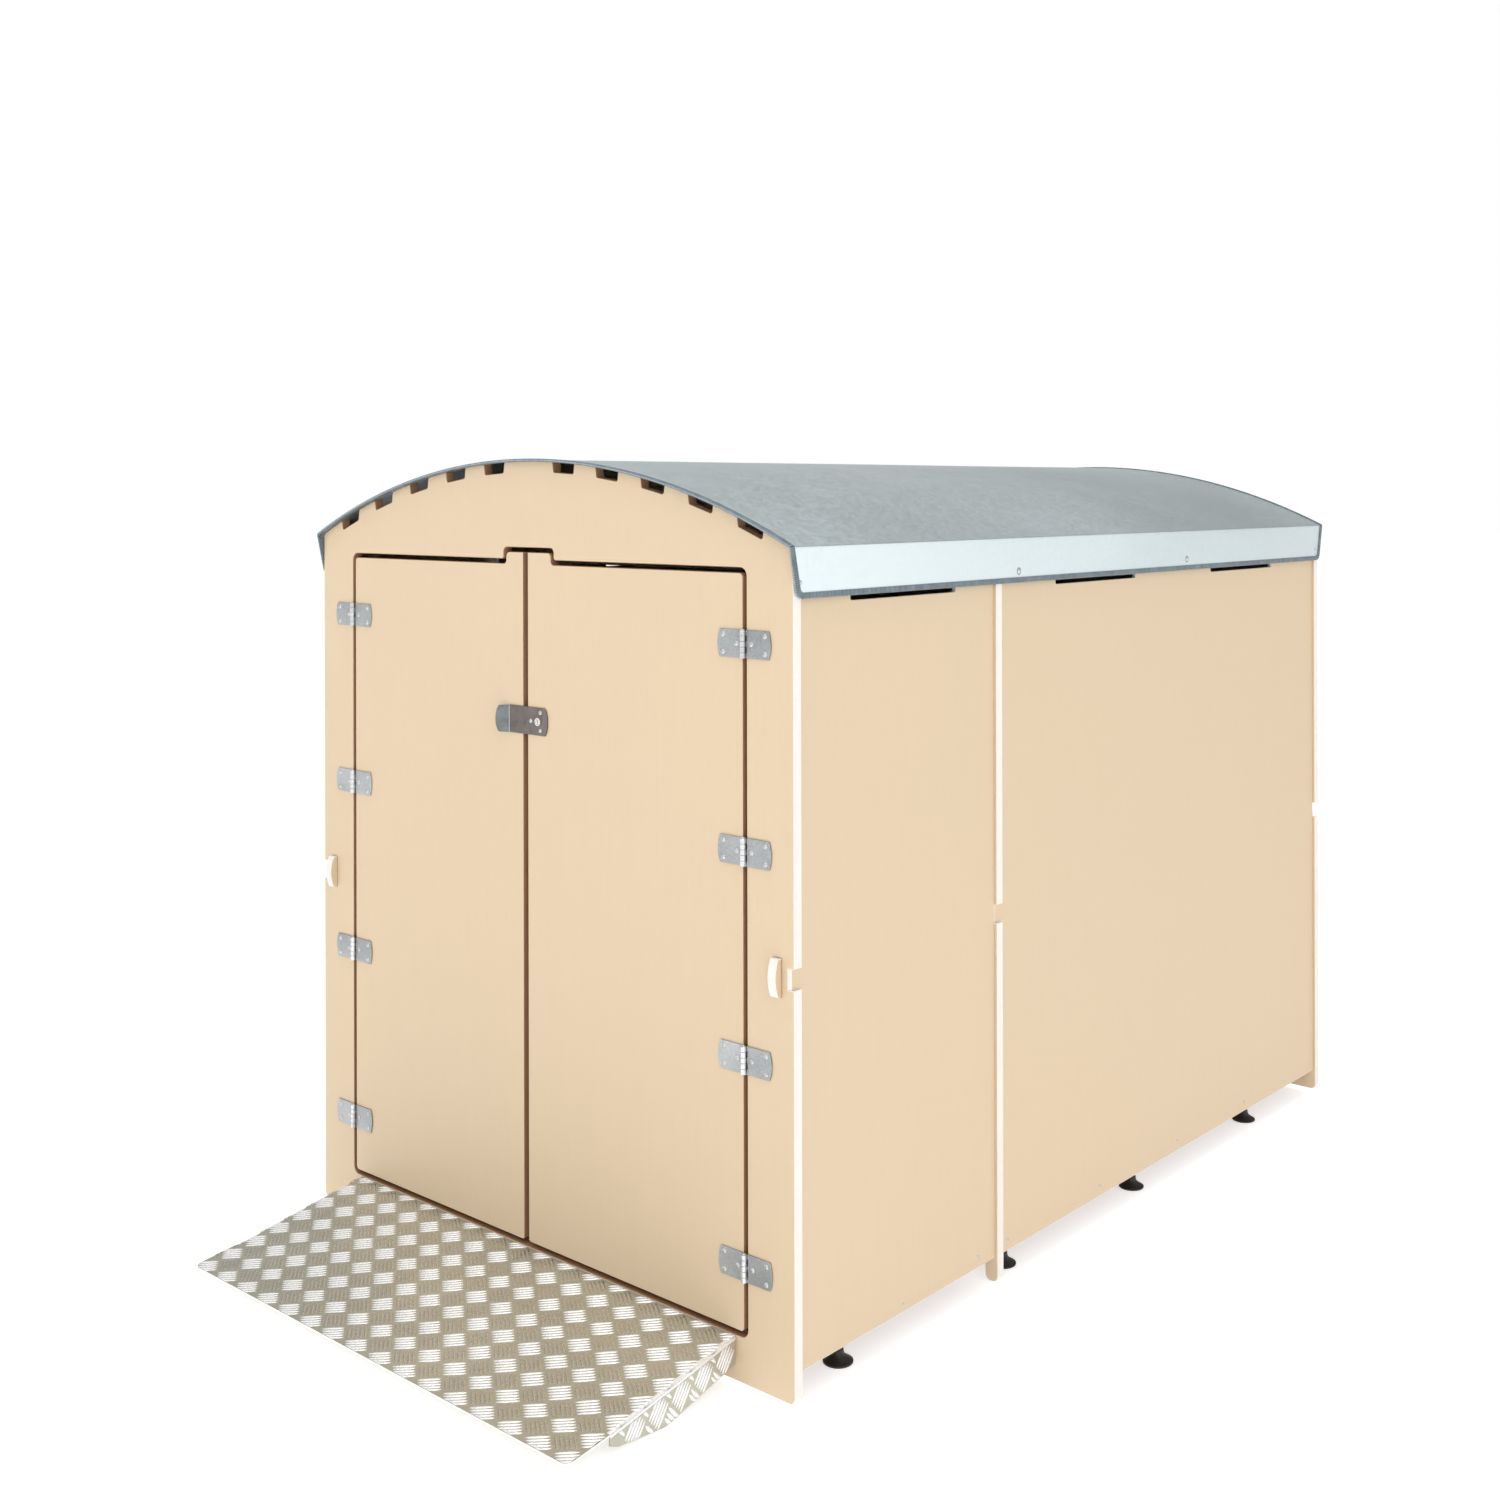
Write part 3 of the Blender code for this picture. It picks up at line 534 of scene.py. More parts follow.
# ---------------------------------------------------------------- side panels
# Four skins of 9 mm film-faced plywood between the frames. Each has a tab that enters the
# notch of the frame in front of it, and cut-outs along its top that let air out under the roof.
SKIN_IN = HALF - NOTCH_DEPTH
SKIN_OUT = SKIN_IN + 0.009
SIDE_VENT_LEVEL = BASE + 1.461
skin_top = float(arch(HALF)) - 0.004
half_tab = NOTCH_HALF - GAP
bays = {
    "front": (FRONT + FRAME_T + GAP, RIB - GAP, ((0.174, 0.517),)),
    "rear": (RIB + FRAME_T + GAP, REAR - FRAME_T - GAP, ((0.896, 1.247), (1.622, 1.963))),
}
for bay, (start, stop, vents) in bays.items():
    corners = [(start, UNDERSIDE, 0), (stop, UNDERSIDE, 0), (stop, skin_top, 0)]
    for vent_start, vent_stop in reversed(vents):
        near, far = FRONT + vent_start, FRONT + vent_stop
        corners += [(far, skin_top, 0), (far, SIDE_VENT_LEVEL, 0.005)]
        corners += [(near, SIDE_VENT_LEVEL, 0.005), (near, skin_top, 0)]
    tab = start - FRAME_T - GAP
    corners += [
        (start, skin_top, 0), (start, JOINT_LEVEL + half_tab, 0),
        (tab, JOINT_LEVEL + half_tab, 0.003), (tab, JOINT_LEVEL - half_tab, 0.003),
        (start, JOINT_LEVEL - half_tab, 0),
    ]
    outline = rounded(corners)
    for side, (near, far) in {
        "left": (-SKIN_OUT, -SKIN_IN - GAP), "right": (SKIN_IN + GAP, SKIN_OUT),
    }.items():
        shell_board(
            f"side_panel_{bay}_{side}", "panel", outline, [], near, far, "X",
            [tan_upright, edge_wood], arris=0.0008,
        )

# ---------------------------------------------------------------- side panel screws
# Small zinc-plated button heads along the foot of each side, into the floor's edge.
SIDE_SCREWS = [(0.335, 0.066)] + [(y, 0.075) for y in (0.590, 0.701, 1.077, 1.442, 1.798)]


def turned(profile, segments):
    """Points and faces of a closed solid turned about its own axis.

    Point (k, i) is radius[k] * (cos, sin)(i * 360 / segments) at height[k]; a radius may be
    an array over i. The first and the last ring are closed by one face each.
    """
    angle = np.linspace(0, math.tau, segments, endpoint=False)
    radius = np.array([np.broadcast_to(r, segments) for r, _ in profile])
    tall = np.array([np.broadcast_to(z, segments) for _, z in profile])
    points = np.stack([radius * np.cos(angle), radius * np.sin(angle), tall], -1).reshape(-1, 3)
    k, i = np.meshgrid(np.arange(len(profile) - 1), np.arange(segments), indexing="ij")
    j = (i + 1) % segments
    n = segments
    quads = np.stack([k * n + i, k * n + j, (k + 1) * n + j, (k + 1) * n + i], -1).reshape(-1, 4)
    ends = [list(range(n))[::-1], list(range((len(profile) - 1) * n, len(profile) * n))]
    return points, quads.tolist() + ends


def facing(points, direction):
    """Points turned so that +Z looks along an axis: x' y' z' are three signed axes."""
    frames = {
        "+X": [(0, 1, 0), (0, 0, 1), (1, 0, 0)], "-X": [(0, -1, 0), (0, 0, 1), (-1, 0, 0)],
        "-Y": [(1, 0, 0), (0, 0, 1), (0, -1, 0)],
    }
    return points @ np.array(frames[direction], float)


def together(shapes):
    """One set of points and faces from several."""
    points, faces, start = [], [], 0
    for some_points, some_faces in shapes:
        points.append(some_points)
        faces += [[index + start for index in face] for face in some_faces]
        start += len(some_points)
    return np.vstack(points), faces


def hexagon(flats, segments=24):
    """Radius of a hexagon of this half width, over even angles."""
    angle = np.linspace(0, math.tau, segments, endpoint=False)
    return flats / np.cos((angle + math.pi / 6) % (math.pi / 3) - math.pi / 6)


def button_head(radius, rise):
    """A domed screw head with a hexagon socket: rings from under the rim to its floor."""
    turn = np.radians([0, 25, 50, 68])
    dome = [(radius * math.cos(a), rise * 0.15 + rise * 0.85 * math.sin(a)) for a in turn]
    socket = radius * 0.30
    top = rise * 0.97
    return turned(
        [(radius * 0.96, -0.0004), (radius, rise * 0.08), *dome[1:], (hexagon(socket * 1.12), top),
         (hexagon(socket), top * 0.9), (hexagon(socket * 0.95), top * 0.35)], 24,
    )


# plated or galvanised metal: large soft clouds, fine spangle and a little unevenness in gloss
tree, given, end = effect(
    "plated_metal",
    [("Bright", "Color", (0.80, 0.82, 0.83, 1)), ("Dull", "Color", (0.58, 0.60, 0.61, 1)),
     ("Cloud Scale", "Float", 3.0), ("Spangle Scale", "Float", 120.0), ("Spangle", "Float", 0.25),
     ("Roughness", "Float", 0.34)],
    [("Colour", "Color"), ("Roughness", "Float"), ("Height", "Float")],
)
place = node(tree, "TexCoord").outputs["Object"]
cloud = noise(tree, node(tree, "VectorMath", {0: place, "Scale": given["Cloud Scale"]},
                         operation="SCALE").outputs[0], 1.0, 3.0)
warp = node(tree, "VectorMath", {0: place, "Scale": given["Spangle Scale"]}, operation="SCALE")
cells = node(tree, "TexVoronoi", {"Vector": warp.outputs[0], "Scale": 1.0})
cell = node(tree, "SeparateXYZ", {0: cells.outputs["Color"]}).outputs["X"]
amount = around(tree, cloud, cell, given["Spangle"])
amount = node(tree, "Clamp", {0: amount}).outputs[0]
tint = mixed(tree, amount, given["Dull"], given["Bright"])
rough = around(tree, around(tree, given["Roughness"], cloud, 0.22), cell, 0.08)
plated = filled_in(tree, end, {"Colour": tint, "Roughness": rough, "Height": cell})


def metal(name, group, bright, dull, rough, metallic, links=SMOOTH, **others):
    """A metal finish: its two tones, its roughness and the group's other values."""
    values = {label.replace("_", " "): value for label, value in others.items()}
    values.update({"Bright": (*bright, 1), "Dull": (*dull, 1), "Roughness": rough})
    return new_material(name, group, values, links, Metallic=metallic)


def heads_at(spots, direction, radius, rise):
    """Button heads of one size at several places, all facing one way."""
    points, faces = button_head(radius, rise)
    return [(facing(points, direction) + spot, faces) for spot in spots]



screw_zinc = metal(
    "screw_zinc", plated, (0.80, 0.80, 0.79), (0.42, 0.43, 0.43), 0.30, 0.9,
    Cloud_Scale=260.0, Spangle_Scale=900.0,
)
heads = []
for direction, x in (("+X", SKIN_OUT), ("-X", -SKIN_OUT)):
    spots = [(x, FRONT + y, BASE + z) for y, z in SIDE_SCREWS]
    heads += heads_at(spots, direction, 0.0043, 0.0016)
side_screws = mesh_object("side_screws", *together(heads), [screw_zinc])
fitted(side_screws, "shell", "zinc")

# ---------------------------------------------------------------- floor panels
# Two panels of 22 mm plywood with a dark brown phenolic film, drilled for the feet's stems.
FOOT_X = 0.675
STEM_HOLE_R = 0.0056
FOOT_PLACES = (0.195, 0.758, 1.310, 1.900)
brown_film = new_material(
    "brown_floor_film", film_face,
    {"Colour": (0.150, 0.080, 0.045, 1), "Grain Scale": (140.0, 6.0, 140.0), "Grain": 0.5,
     "Roughness": 0.42}, RELIEF,
)
for bay, (start, stop, _) in bays.items():
    half = SKIN_IN - GAP
    outline = np.array([(-half, start), (half, start), (half, stop), (-half, stop)])
    holes = [
        circle(STEM_HOLE_R, 16) + (x, FRONT + place) for place in FOOT_PLACES for x in (-FOOT_X, FOOT_X)
        if start < FRONT + place < stop
    ]
    shell_board(
        f"floor_{bay}", "floor_ply", outline, holes, FLOOR_TOP - FRAME_T, FLOOR_TOP, "Z",
        [brown_film, edge_wood], arris=0.0006,
    )

# ---------------------------------------------------------------- tie rails
# Two plywood rails that run through the frames and pull them together; each shows a rounded
# nose in front of the front panel.
tan_lengthwise = new_material(
    "tan_film_lengthwise", film_face,
    {"Grain Scale": (160.0, 7.0, 160.0), "Grain": 0.035, "Roughness": 0.46}, RELIEF, IOR=1.48,
)
share = np.linspace(-1, 1, 17)
nose = np.stack([FRONT - 0.018 + 0.008 * share ** 2, JOINT_LEVEL + TIE_H / 2 * share], 1)
tail = REAR - FRAME_T - GAP
rail = np.vstack([
    [(FRONT, JOINT_LEVEL - TIE_H / 2), (tail, JOINT_LEVEL - TIE_H / 2),
     (tail, JOINT_LEVEL + TIE_H / 2), (FRONT, JOINT_LEVEL + TIE_H / 2)], nose[::-1],
])
for side, sign in (("left", -1), ("right", 1)):
    middle = sign * TIE_X
    shell_board(
        f"tie_rail_{side}", "panel", rail, [], middle - TIE_T / 2, middle + TIE_T / 2, "X",
        [tan_lengthwise, edge_wood],
    )

# ---------------------------------------------------------------- roof sheet
# One galvanised steel sheet, 1.5 mm, rolled to the frames' arch, with a skirt folded down
# along each side; the skirts' ends slope back and their corners are rounded.
ROOF_R = 1.723
ROOF_T = 0.0015
ROOF_HALF = 0.7395
SKIRT_H = 0.094
FOLD_R = 0.0034
ROOF_END = 0.014
SKIRT_BACK = 0.020
CORNER_R = 0.014


def roof_section():
    """Mid-line of the sheet across the hutch: (length, x, z, slope of the outward normal).

    From the left skirt's foot: a vertical line, a small arc for the fold, the big arch about
    the middle line, the other fold and the other skirt. The normal's angle is measured from
    straight up, positive to the right.
    """
    middle = ROOF_T / 2
    big, half, small = ROOF_R - middle, ROOF_HALF - middle, FOLD_R
    meet = math.asin((half - small) / (big - small))
    centre = np.array([half - small, ARCH_MIDDLE + (big - small) * math.cos(meet)])
    foot = ARCH_MIDDLE + math.sqrt(ROOF_R ** 2 - ROOF_HALF ** 2) - SKIRT_H
    over = np.linspace(0, meet, 90)
    fold = np.linspace(meet, math.pi / 2, 10)[1:]
    drop = np.linspace(centre[1], foot, 12)[1:]
    x = np.concatenate([big * np.sin(over), centre[0] + small * np.sin(fold), np.full(11, half)])
    z = np.concatenate([
        ARCH_MIDDLE + big * np.cos(over), centre[1] + small * np.cos(fold), drop,
    ])
    slope = np.concatenate([over, fold, np.full(11, math.pi / 2)])
    x, z = np.concatenate([-x[:0:-1], x]), np.concatenate([z[:0:-1], z])
    slope = np.concatenate([-slope[:0:-1], slope])
    length = np.concatenate([[0], np.cumsum(np.hypot(np.diff(x), np.diff(z)))])
    return length - length[-1] / 2, x, z, slope


section = roof_section()
REACH = section[0][-1]
fold_top = ARCH_MIDDLE + math.sqrt(ROOF_R ** 2 - ROOF_HALF ** 2)


def across_roof(u):
    """x, z and normal angle at a length u across the sheet, from its section."""
    return [np.interp(u, section[0], column) for column in section[1:]]


def roof_edge(u):
    """How far the sheet stands past the frames at u: less down a skirt, with round corners."""
    _, z, _ = across_roof(u)
    drop = np.clip((fold_top - z) / SKIRT_H, 0, 1)
    short = np.clip(CORNER_R - (REACH - np.abs(u)), 0, CORNER_R)
    return ROOF_END - SKIRT_BACK * drop - CORNER_R + np.sqrt(CORNER_R ** 2 - short ** 2)


def roof_points(u, y, off):
    """Points of the sheet at length u across, place y along, and a distance off its middle.

    A shallow unevenness, 0.4 mm at most, runs over the arch as in any rolled sheet, and it
    fades out at the ends and the folds.
    """
    x, z, slope = across_roof(u)
    t = np.clip((y - FRONT) / (REAR - FRONT), 0, 1)
    w = np.clip(1 - np.abs(u) / (REACH - SKIRT_H), 0, 1)
    fade = np.sin(math.pi * t) * np.minimum(1, 3 * w)
    uneven = 0.0004 * fade * np.sin(7.3 * u + 2.1 * y) * np.cos(4.1 * y - 1.3 * u)
    return np.stack([x + (off + uneven) * np.sin(slope), y, z + (off + uneven) * np.cos(slope)], -1)


corner_steps = REACH - CORNER_R * (1 - np.cos(np.linspace(0, math.pi / 2, 7)))[::-1]
own = section[0][np.abs(section[0]) < REACH - CORNER_R - 0.001]
across = np.concatenate([-corner_steps[::-1], own, corner_steps])
along = np.linspace(0, 1, 41)
u_grid, t_grid = np.meshgrid(across, along, indexing="ij")
reach = roof_edge(u_grid)
y_grid = FRONT - reach + t_grid * (REAR - FRONT + 2 * reach)


def grid_faces(rows, columns, start=0, closed_rows=False, closed_columns=False):
    """Quads of a grid of points that runs row by row."""
    k, i = np.meshgrid(
        np.arange(rows - (not closed_rows)), np.arange(columns - (not closed_columns)), indexing="ij",
    )
    down, right = (k + 1) % rows, (i + 1) % columns
    return start + np.stack([
        k * columns + i, down * columns + i, down * columns + right, k * columns + right,
    ], -1).reshape(-1, 4)


def two_skinned(skins):
    """Points and faces of a sheet from the grids of its outer and inner skin.

    The rim's quads join the two skins all the way round the grid's edge.
    """
    rows, columns = skins[0].shape[:2]
    size = rows * columns
    skin = grid_faces(rows, columns)
    rim = np.concatenate([
        np.arange(columns), np.arange(2 * columns - 1, size, columns),
        np.arange(size - 2, size - columns - 1, -1), np.arange(size - 2 * columns, 0, -columns),
    ])
    ahead = np.roll(rim, -1)
    edge = np.stack([rim, ahead, ahead + size, rim + size], -1)
    points = np.vstack([grid.reshape(-1, 3) for grid in skins])
    return points, np.vstack([skin, skin[:, ::-1] + size, edge]).tolist()


galvanised = metal(
    "galvanised_sheet", plated, (0.74, 0.825, 0.845), (0.62, 0.70, 0.71), 0.36, 0.85,
    Cloud_Scale=1.6, Spangle_Scale=110.0, Spangle=0.22,
)
skins = [roof_points(u_grid, y_grid, off) for off in (ROOF_T / 2, -ROOF_T / 2)]
roof = mesh_object("roof_sheet_metal", *two_skinned(skins), [galvanised])
fitted(roof, "shell", "galvanised", "roof_sheet")

# ---------------------------------------------------------------- roof edge trim
# A ribbed grey edging pushed over the sheet's whole edge, round the skirts' corners: two
# legs grip the sheet, and small cross ribs every 4 mm let it bend.
RIB_STEP = 0.002
LEG = 0.0032
DEPTH = 0.009
COVER = 0.003
SLOT = 0.00105

fine_corner = REACH - CORNER_R * (1 - np.cos(np.linspace(0, math.pi / 2, 25)))[::-1]
fine = np.concatenate([
    -fine_corner[::-1], np.linspace(-REACH + CORNER_R + 0.001, REACH - CORNER_R - 0.001, 1500),
    fine_corner,
])
edge_y = roof_edge(fine)
skirt_foot = np.linspace(0, 1, 400)[1:-1]
foot_start, foot_stop = FRONT - edge_y[-1], REAR + edge_y[-1]
path_u = np.concatenate([fine, np.full(398, REACH), fine[::-1], np.full(398, -REACH)])
path_y = np.concatenate([
    FRONT - edge_y, foot_start + (foot_stop - foot_start) * skirt_foot,
    REAR + edge_y[::-1], foot_stop + (foot_start - foot_stop) * skirt_foot,
])
path = roof_points(path_u, path_y, 0)
step = np.linalg.norm(np.roll(path, -1, 0) - path, axis=1)
walked = np.concatenate([[0], np.cumsum(step)])
count = 2 * round(walked[-1] / RIB_STEP / 2)
stops = np.linspace(0, walked[-1], count, endpoint=False)
closed = np.vstack([path, path[:1]])
line = np.stack([np.interp(stops, walked, closed[:, axis]) for axis in range(3)], -1)
angle = np.interp(stops, walked, np.append(across_roof(path_u)[2], across_roof(path_u[:1])[2]))
normal = np.stack([np.sin(angle), np.zeros(count), np.cos(angle)], -1)
tangent = np.roll(line, -3, 0) - np.roll(line, 3, 0)
inward = np.cross(normal, tangent)
inward /= np.linalg.norm(inward, axis=1)[:, None]
nose_turn = np.radians(np.linspace(0, 180, 9))
legs = np.concatenate([[-LEG, -LEG], -LEG * np.cos(nose_turn), [LEG, LEG, SLOT, SLOT, -SLOT, -SLOT]])
into = np.concatenate([
    [DEPTH, DEPTH * 0.5], -COVER * np.sin(nose_turn), [DEPTH * 0.5, DEPTH, DEPTH, 0.0, 0.0, DEPTH],
])
swell = np.concatenate([[1.0, 1.0], np.ones(9), [1.0, 1.0, 0, 0, 0, 0]])
ribs = 0.00032 * (np.arange(count) % 2)[:, None] * swell[None]
away = np.where(np.abs(legs) > 0.99 * LEG, np.sign(legs), 0)[None]
nose_share = np.where(into < 0, 1.0, 0.0)[None]
off = legs[None] + away * ribs - away * 0.0003
deep = into[None] - nose_share * ribs + nose_share * 0.0003
profile_size = len(legs)
points = line[:, None] + normal[:, None] * off[..., None] + inward[:, None] * deep[..., None]
trim_faces = grid_faces(count, profile_size, 0, True, True)

# rubbery plastic with paler rib tops and a brighter nose, a painted highlight
tree, given, end = effect(
    "ribbed_rubber",
    [("Groove", "Color", (0.045, 0.065, 0.080, 1)), ("Crest", "Color", (0.42, 0.52, 0.57, 1)),
     ("Nose Highlight", "Color", (0.55, 0.66, 0.74, 1))],
    [("Colour", "Color"), ("Roughness", "Float")],
)
along_trim = node(tree, "SeparateXYZ", {0: node(tree, "UVMap", uv_map="cut").outputs[0]})
wave = maths(tree, "COSINE", maths(tree, "MULTIPLY", along_trim.outputs["X"], math.pi / RIB_STEP))
crest = maths(tree, "MULTIPLY_ADD", wave, -0.5, 0.5)
dust = noise(tree, node(tree, "TexCoord").outputs["Object"], 60.0, 3.0)
body = mixed(tree, maths(tree, "MULTIPLY", crest, dust), given["Groove"], given["Crest"])
nose_highlight = maths(tree, "MULTIPLY", along_trim.outputs["Y"], maths(tree, "MULTIPLY_ADD", crest, 0.55, 0.3))
shown = mixed(tree, nose_highlight, body, given["Nose Highlight"])
ribbed = filled_in(tree, end, {"Colour": shown, "Roughness": maths(tree, "MULTIPLY_ADD", dust, 0.3, 0.35)})
trim_rubber = new_material(
    "edge_trim_rubber", ribbed, {}, SMOOTH,
)
# v of the UV is 1 along the middle of the nose, where it is painted brighter: a painted highlight
nose_highlight_mask = np.clip(1 - np.abs(legs) / (0.45 * LEG), 0, 1) * (into < 0)
k, i = np.meshgrid(np.arange(count), np.arange(profile_size), indexing="ij")
u_here, u_next = k * RIB_STEP, (k + 1) * RIB_STEP
v_here, v_next = nose_highlight_mask[i], nose_highlight_mask[(i + 1) % profile_size]
trim_uv = np.stack([u_here, v_here, u_next, v_here, u_next, v_next, u_here, v_next], -1)
trim = mesh_object(
    "roof_edge_trim_ribbed", points.reshape(-1, 3), trim_faces.tolist(), [trim_rubber],
    uv=trim_uv.reshape(-1, 2), sharp=70,
)
fitted(trim, "shell", "edge_rubber", "roof_edge_trim")

# ---------------------------------------------------------------- skirt rivets
# Pop rivets through each skirt into the frames, and a smaller one near each skirt's end. Each
# stands on a wider ring in dark grey, a painted shadow round its head.
RIVETS = (
    (0.732, 1.496, 0.006), (1.476, 1.498, 0.006), (0.013, 1.502, 0.003), (2.213, 1.502, 0.003),
)
SHADOW_RING_FACES = 60

heads, slots = [], []
for direction, x in (("+X", ROOF_HALF), ("-X", -ROOF_HALF)):
    for y, z, radius in RIVETS:
        turn = np.radians([0, 20, 40, 60, 78])
        dome = [(radius * math.cos(a), 0.0003 + radius * 0.30 * math.sin(a)) for a in turn]
        pit = [(radius * 0.19, radius * 0.28), (radius * 0.10, radius * 0.20)]
        shadow_ring = [(radius * 1.35, -0.0004), (radius * 1.35, 0.0002), (radius * 1.30, 0.0004)]
        points, faces = turned([*shadow_ring, (radius, 0.0002), *dome, *pit], 20)
        heads.append((facing(points, direction) + (x, FRONT + y, BASE + z), faces))
        slots += [1] * SHADOW_RING_FACES + [0] * (len(faces) - SHADOW_RING_FACES)
# dark grey for the ring round each head: a painted shadow
shadow_ring_grey = metal(
    "rivet_painted_shadow_ring", plated, (0.36, 0.38, 0.39), (0.22, 0.23, 0.24), 0.40, 0.5,
    Cloud_Scale=160.0, Spangle_Scale=900.0,
)
rivets = mesh_object("skirt_rivets", *together(heads), [screw_zinc, shadow_ring_grey], slots)
fitted(rivets, "shell", "zinc")

# ---------------------------------------------------------------- doors
# Two leaves of the same plywood as the panels, with rounded corners. Each has a raised tab at
# the top, where they meet in the doorway's recess; the right one is drilled for the lock.
LOCK_X = 0.0345
MEETING_AT = -0.009
MEETING_GAP = 0.007
DOOR_HALF = 0.609
TAB_HALF = 0.071
TAB_RISE = 0.025
LATCH_LEVEL = BASE + 1.189
LOCK_R = 0.0085
door_bottom, door_top = FLOOR_TOP + 0.010, BASE + 1.516
for side, sign in (("left", -1), ("right", 1)):
    meeting = MEETING_GAP + sign * MEETING_AT
    corners = [
        (DOOR_HALF, door_bottom, 0.009), (DOOR_HALF, door_top, 0.009),
        (TAB_HALF, door_top, 0.008), (TAB_HALF, door_top + TAB_RISE, 0.010),
        (meeting, door_top + TAB_RISE, 0), (meeting, door_bottom, 0.006),
    ]
    outline = rounded(corners) * (sign, 1)
    lock_hole = circle(LOCK_R + GAP, 32) + (LOCK_X, LATCH_LEVEL)
    # the leaves' cut edges take the brown edge, a painted shade
    door = board(
        f"door_{side}_leaf", outline, [lock_hole] if side == "right" else [],
        FRONT, FRONT + FRAME_T, "Y", [tan_upright, edge_painted_shade], arris=0.001,
    )
    fitted(door, f"door_{side}", "panel", f"door_{side}")

# ---------------------------------------------------------------- hinges
# Eight butt hinges of zinc-plated steel with bowed ends: a leaf on the frame with three
# knuckles, a leaf on the door with two, and a pin through them. Three button-head screws
# hold each leaf.
PIN_X = 0.6135
HINGE_Y = FRONT - 0.0058
HINGE_LEVELS = [BASE + 0.2195 + 0.388 * step for step in range(4)]
HINGE_H = 0.053
LEAF_L = 0.0675
LEAF_BOW = 0.0055
KNUCKLE_R = 0.0055
BORE_R = 0.0028
ROOT = 0.0072
SCREWS_AT = ((0.0185, 0.0), (0.0530, 0.0165), (0.0530, -0.0165))

zinc = metal(
    "zinc_plate", plated, (0.68, 0.70, 0.71), (0.17, 0.185, 0.195), 0.36, 0.9, RELIEF,
    Cloud_Scale=5.5, Spangle_Scale=520.0, Spangle=0.22,
)
# a brighter zinc for the knuckles: a painted highlight along each barrel
barrel_painted_highlight = metal(
    "zinc_barrel_painted_highlight", plated, (0.86, 0.87, 0.88), (0.50, 0.51, 0.52), 0.24, 0.95,
    Cloud_Scale=90.0, Spangle_Scale=900.0, Spangle=0.2,
)


def knuckle(low_z, high_z):
    """A curl of the leaf about its pin: a ring section carried up from one height to another.

    Its outline is the outer circle from 90 to 372 degrees and the inner one back, and a
    short root that runs into the leaf.
    """
    turn = np.radians(np.linspace(90, 372, 25))
    outer_arc = KNUCKLE_R * np.stack([np.cos(turn), np.sin(turn)], 1)
    inner_arc = BORE_R * np.stack([np.cos(turn[::-1]), np.sin(turn[::-1])], 1)
    ring = np.vstack([[(ROOT + 0.0004, KNUCKLE_R)], outer_arc, inner_arc, [(ROOT + 0.0004, BORE_R)]])
    levels = np.array([low_z, low_z + 0.0003, high_z - 0.0003, high_z])
    shrink = np.array([0.0003, 0, 0, 0.0003])
    closed_ring = ring[None] - mitres(ring)[None] * -shrink[:, None, None]
    height = np.broadcast_to(levels[:, None, None], (4, len(ring), 1))
    points = np.concatenate([closed_ring, height], 2).reshape(-1, 3)
    n = len(ring)
    sides = grid_faces(4, n, 0, False, True)[:, ::-1]
    ends = [list(range(n))[::-1], list(range(3 * n, 4 * n))]
    return points, sides.tolist() + ends


def leaf(own_knuckles):
    """A leaf on +X of its pin at the origin: a flat plate and its knuckles, of five."""
    half = HINGE_H / 2
    bow = [(LEAF_L - LEAF_BOW * share ** 2, half * share, 0) for share in np.linspace(-0.8, 0.8, 9)]
    corner = LEAF_L - LEAF_BOW
    outline = rounded([
        (ROOT, -half, 0), (corner, -half, 0.0015), *bow, (corner, half, 0.0015), (ROOT, half, 0),
    ], 3)
    plate = board_arrays(outline, [], BORE_R, KNUCKLE_R, "Y", 0.0005)
    pitch = HINGE_H / 5
    curls = [
        knuckle(-half + pitch * k + 0.00025, -half + pitch * (k + 1) - 0.00025) for k in own_knuckles
    ]
    # the knuckles take slot 1, the brighter zinc, a painted highlight
    barrel_faces = sum(len(curl[1]) for curl in curls)
    points, faces = together([(plate[0], plate[1]), *curls])
    return points, faces, [0] * len(plate[1]) + [1] * barrel_faces


def other_way(points, faces, slots):
    """The mirror image across X = 0, with its faces turned to look outwards again."""
    return points * (-1, 1, 1), [face[::-1] for face in faces], slots


frame_side, door_side = leaf((0, 2, 4)), other_way(*leaf((1, 3)))
pin_profile = [
    (0.0021, -0.0270), (0.0025, -0.0266), (0.0025, 0.0268), (0.0043, 0.0269), (0.0044, 0.0275),
    (0.0036, 0.0284), (0.0016, 0.0288),
]
screw_groups = {"shell": [], "door_left": [], "door_right": []}
for side, sign in (("left", -1), ("right", 1)):
    for number, level in enumerate(HINGE_LEVELS, start=1):
        centre = (sign * PIN_X, HINGE_Y, level)
        for which, shape, body in (
            ("frame_leaf", frame_side, "shell"), ("door_leaf", door_side, f"door_{side}"),
        ):
            points, faces, slots = shape if sign > 0 else other_way(*shape)
            name = f"hinge_{side}_{number}_{which}"
            piece = mesh_object(name + "_plate", points + centre, faces, [zinc, barrel_painted_highlight], slots)
            fitted(piece, body, "zinc", name)
            way = sign if which == "frame_leaf" else -sign
            spots = [(centre[0] + way * out, HINGE_Y + BORE_R, level + up) for out, up in SCREWS_AT]
            screw_groups[body] += heads_at(spots, "-Y", 0.0052, 0.0021)
        points, faces = turned(pin_profile, 16)
        pin = mesh_object(f"hinge_{side}_{number}_pin_steel", points + centre, faces, [screw_zinc])
        fitted(pin, "shell", "zinc", f"hinge_{side}_{number}_pin")
for body, heads in screw_groups.items():
    screws = mesh_object(f"hinge_screws_{body}", *together(heads), [screw_zinc])
    fitted(screws, body, "zinc")

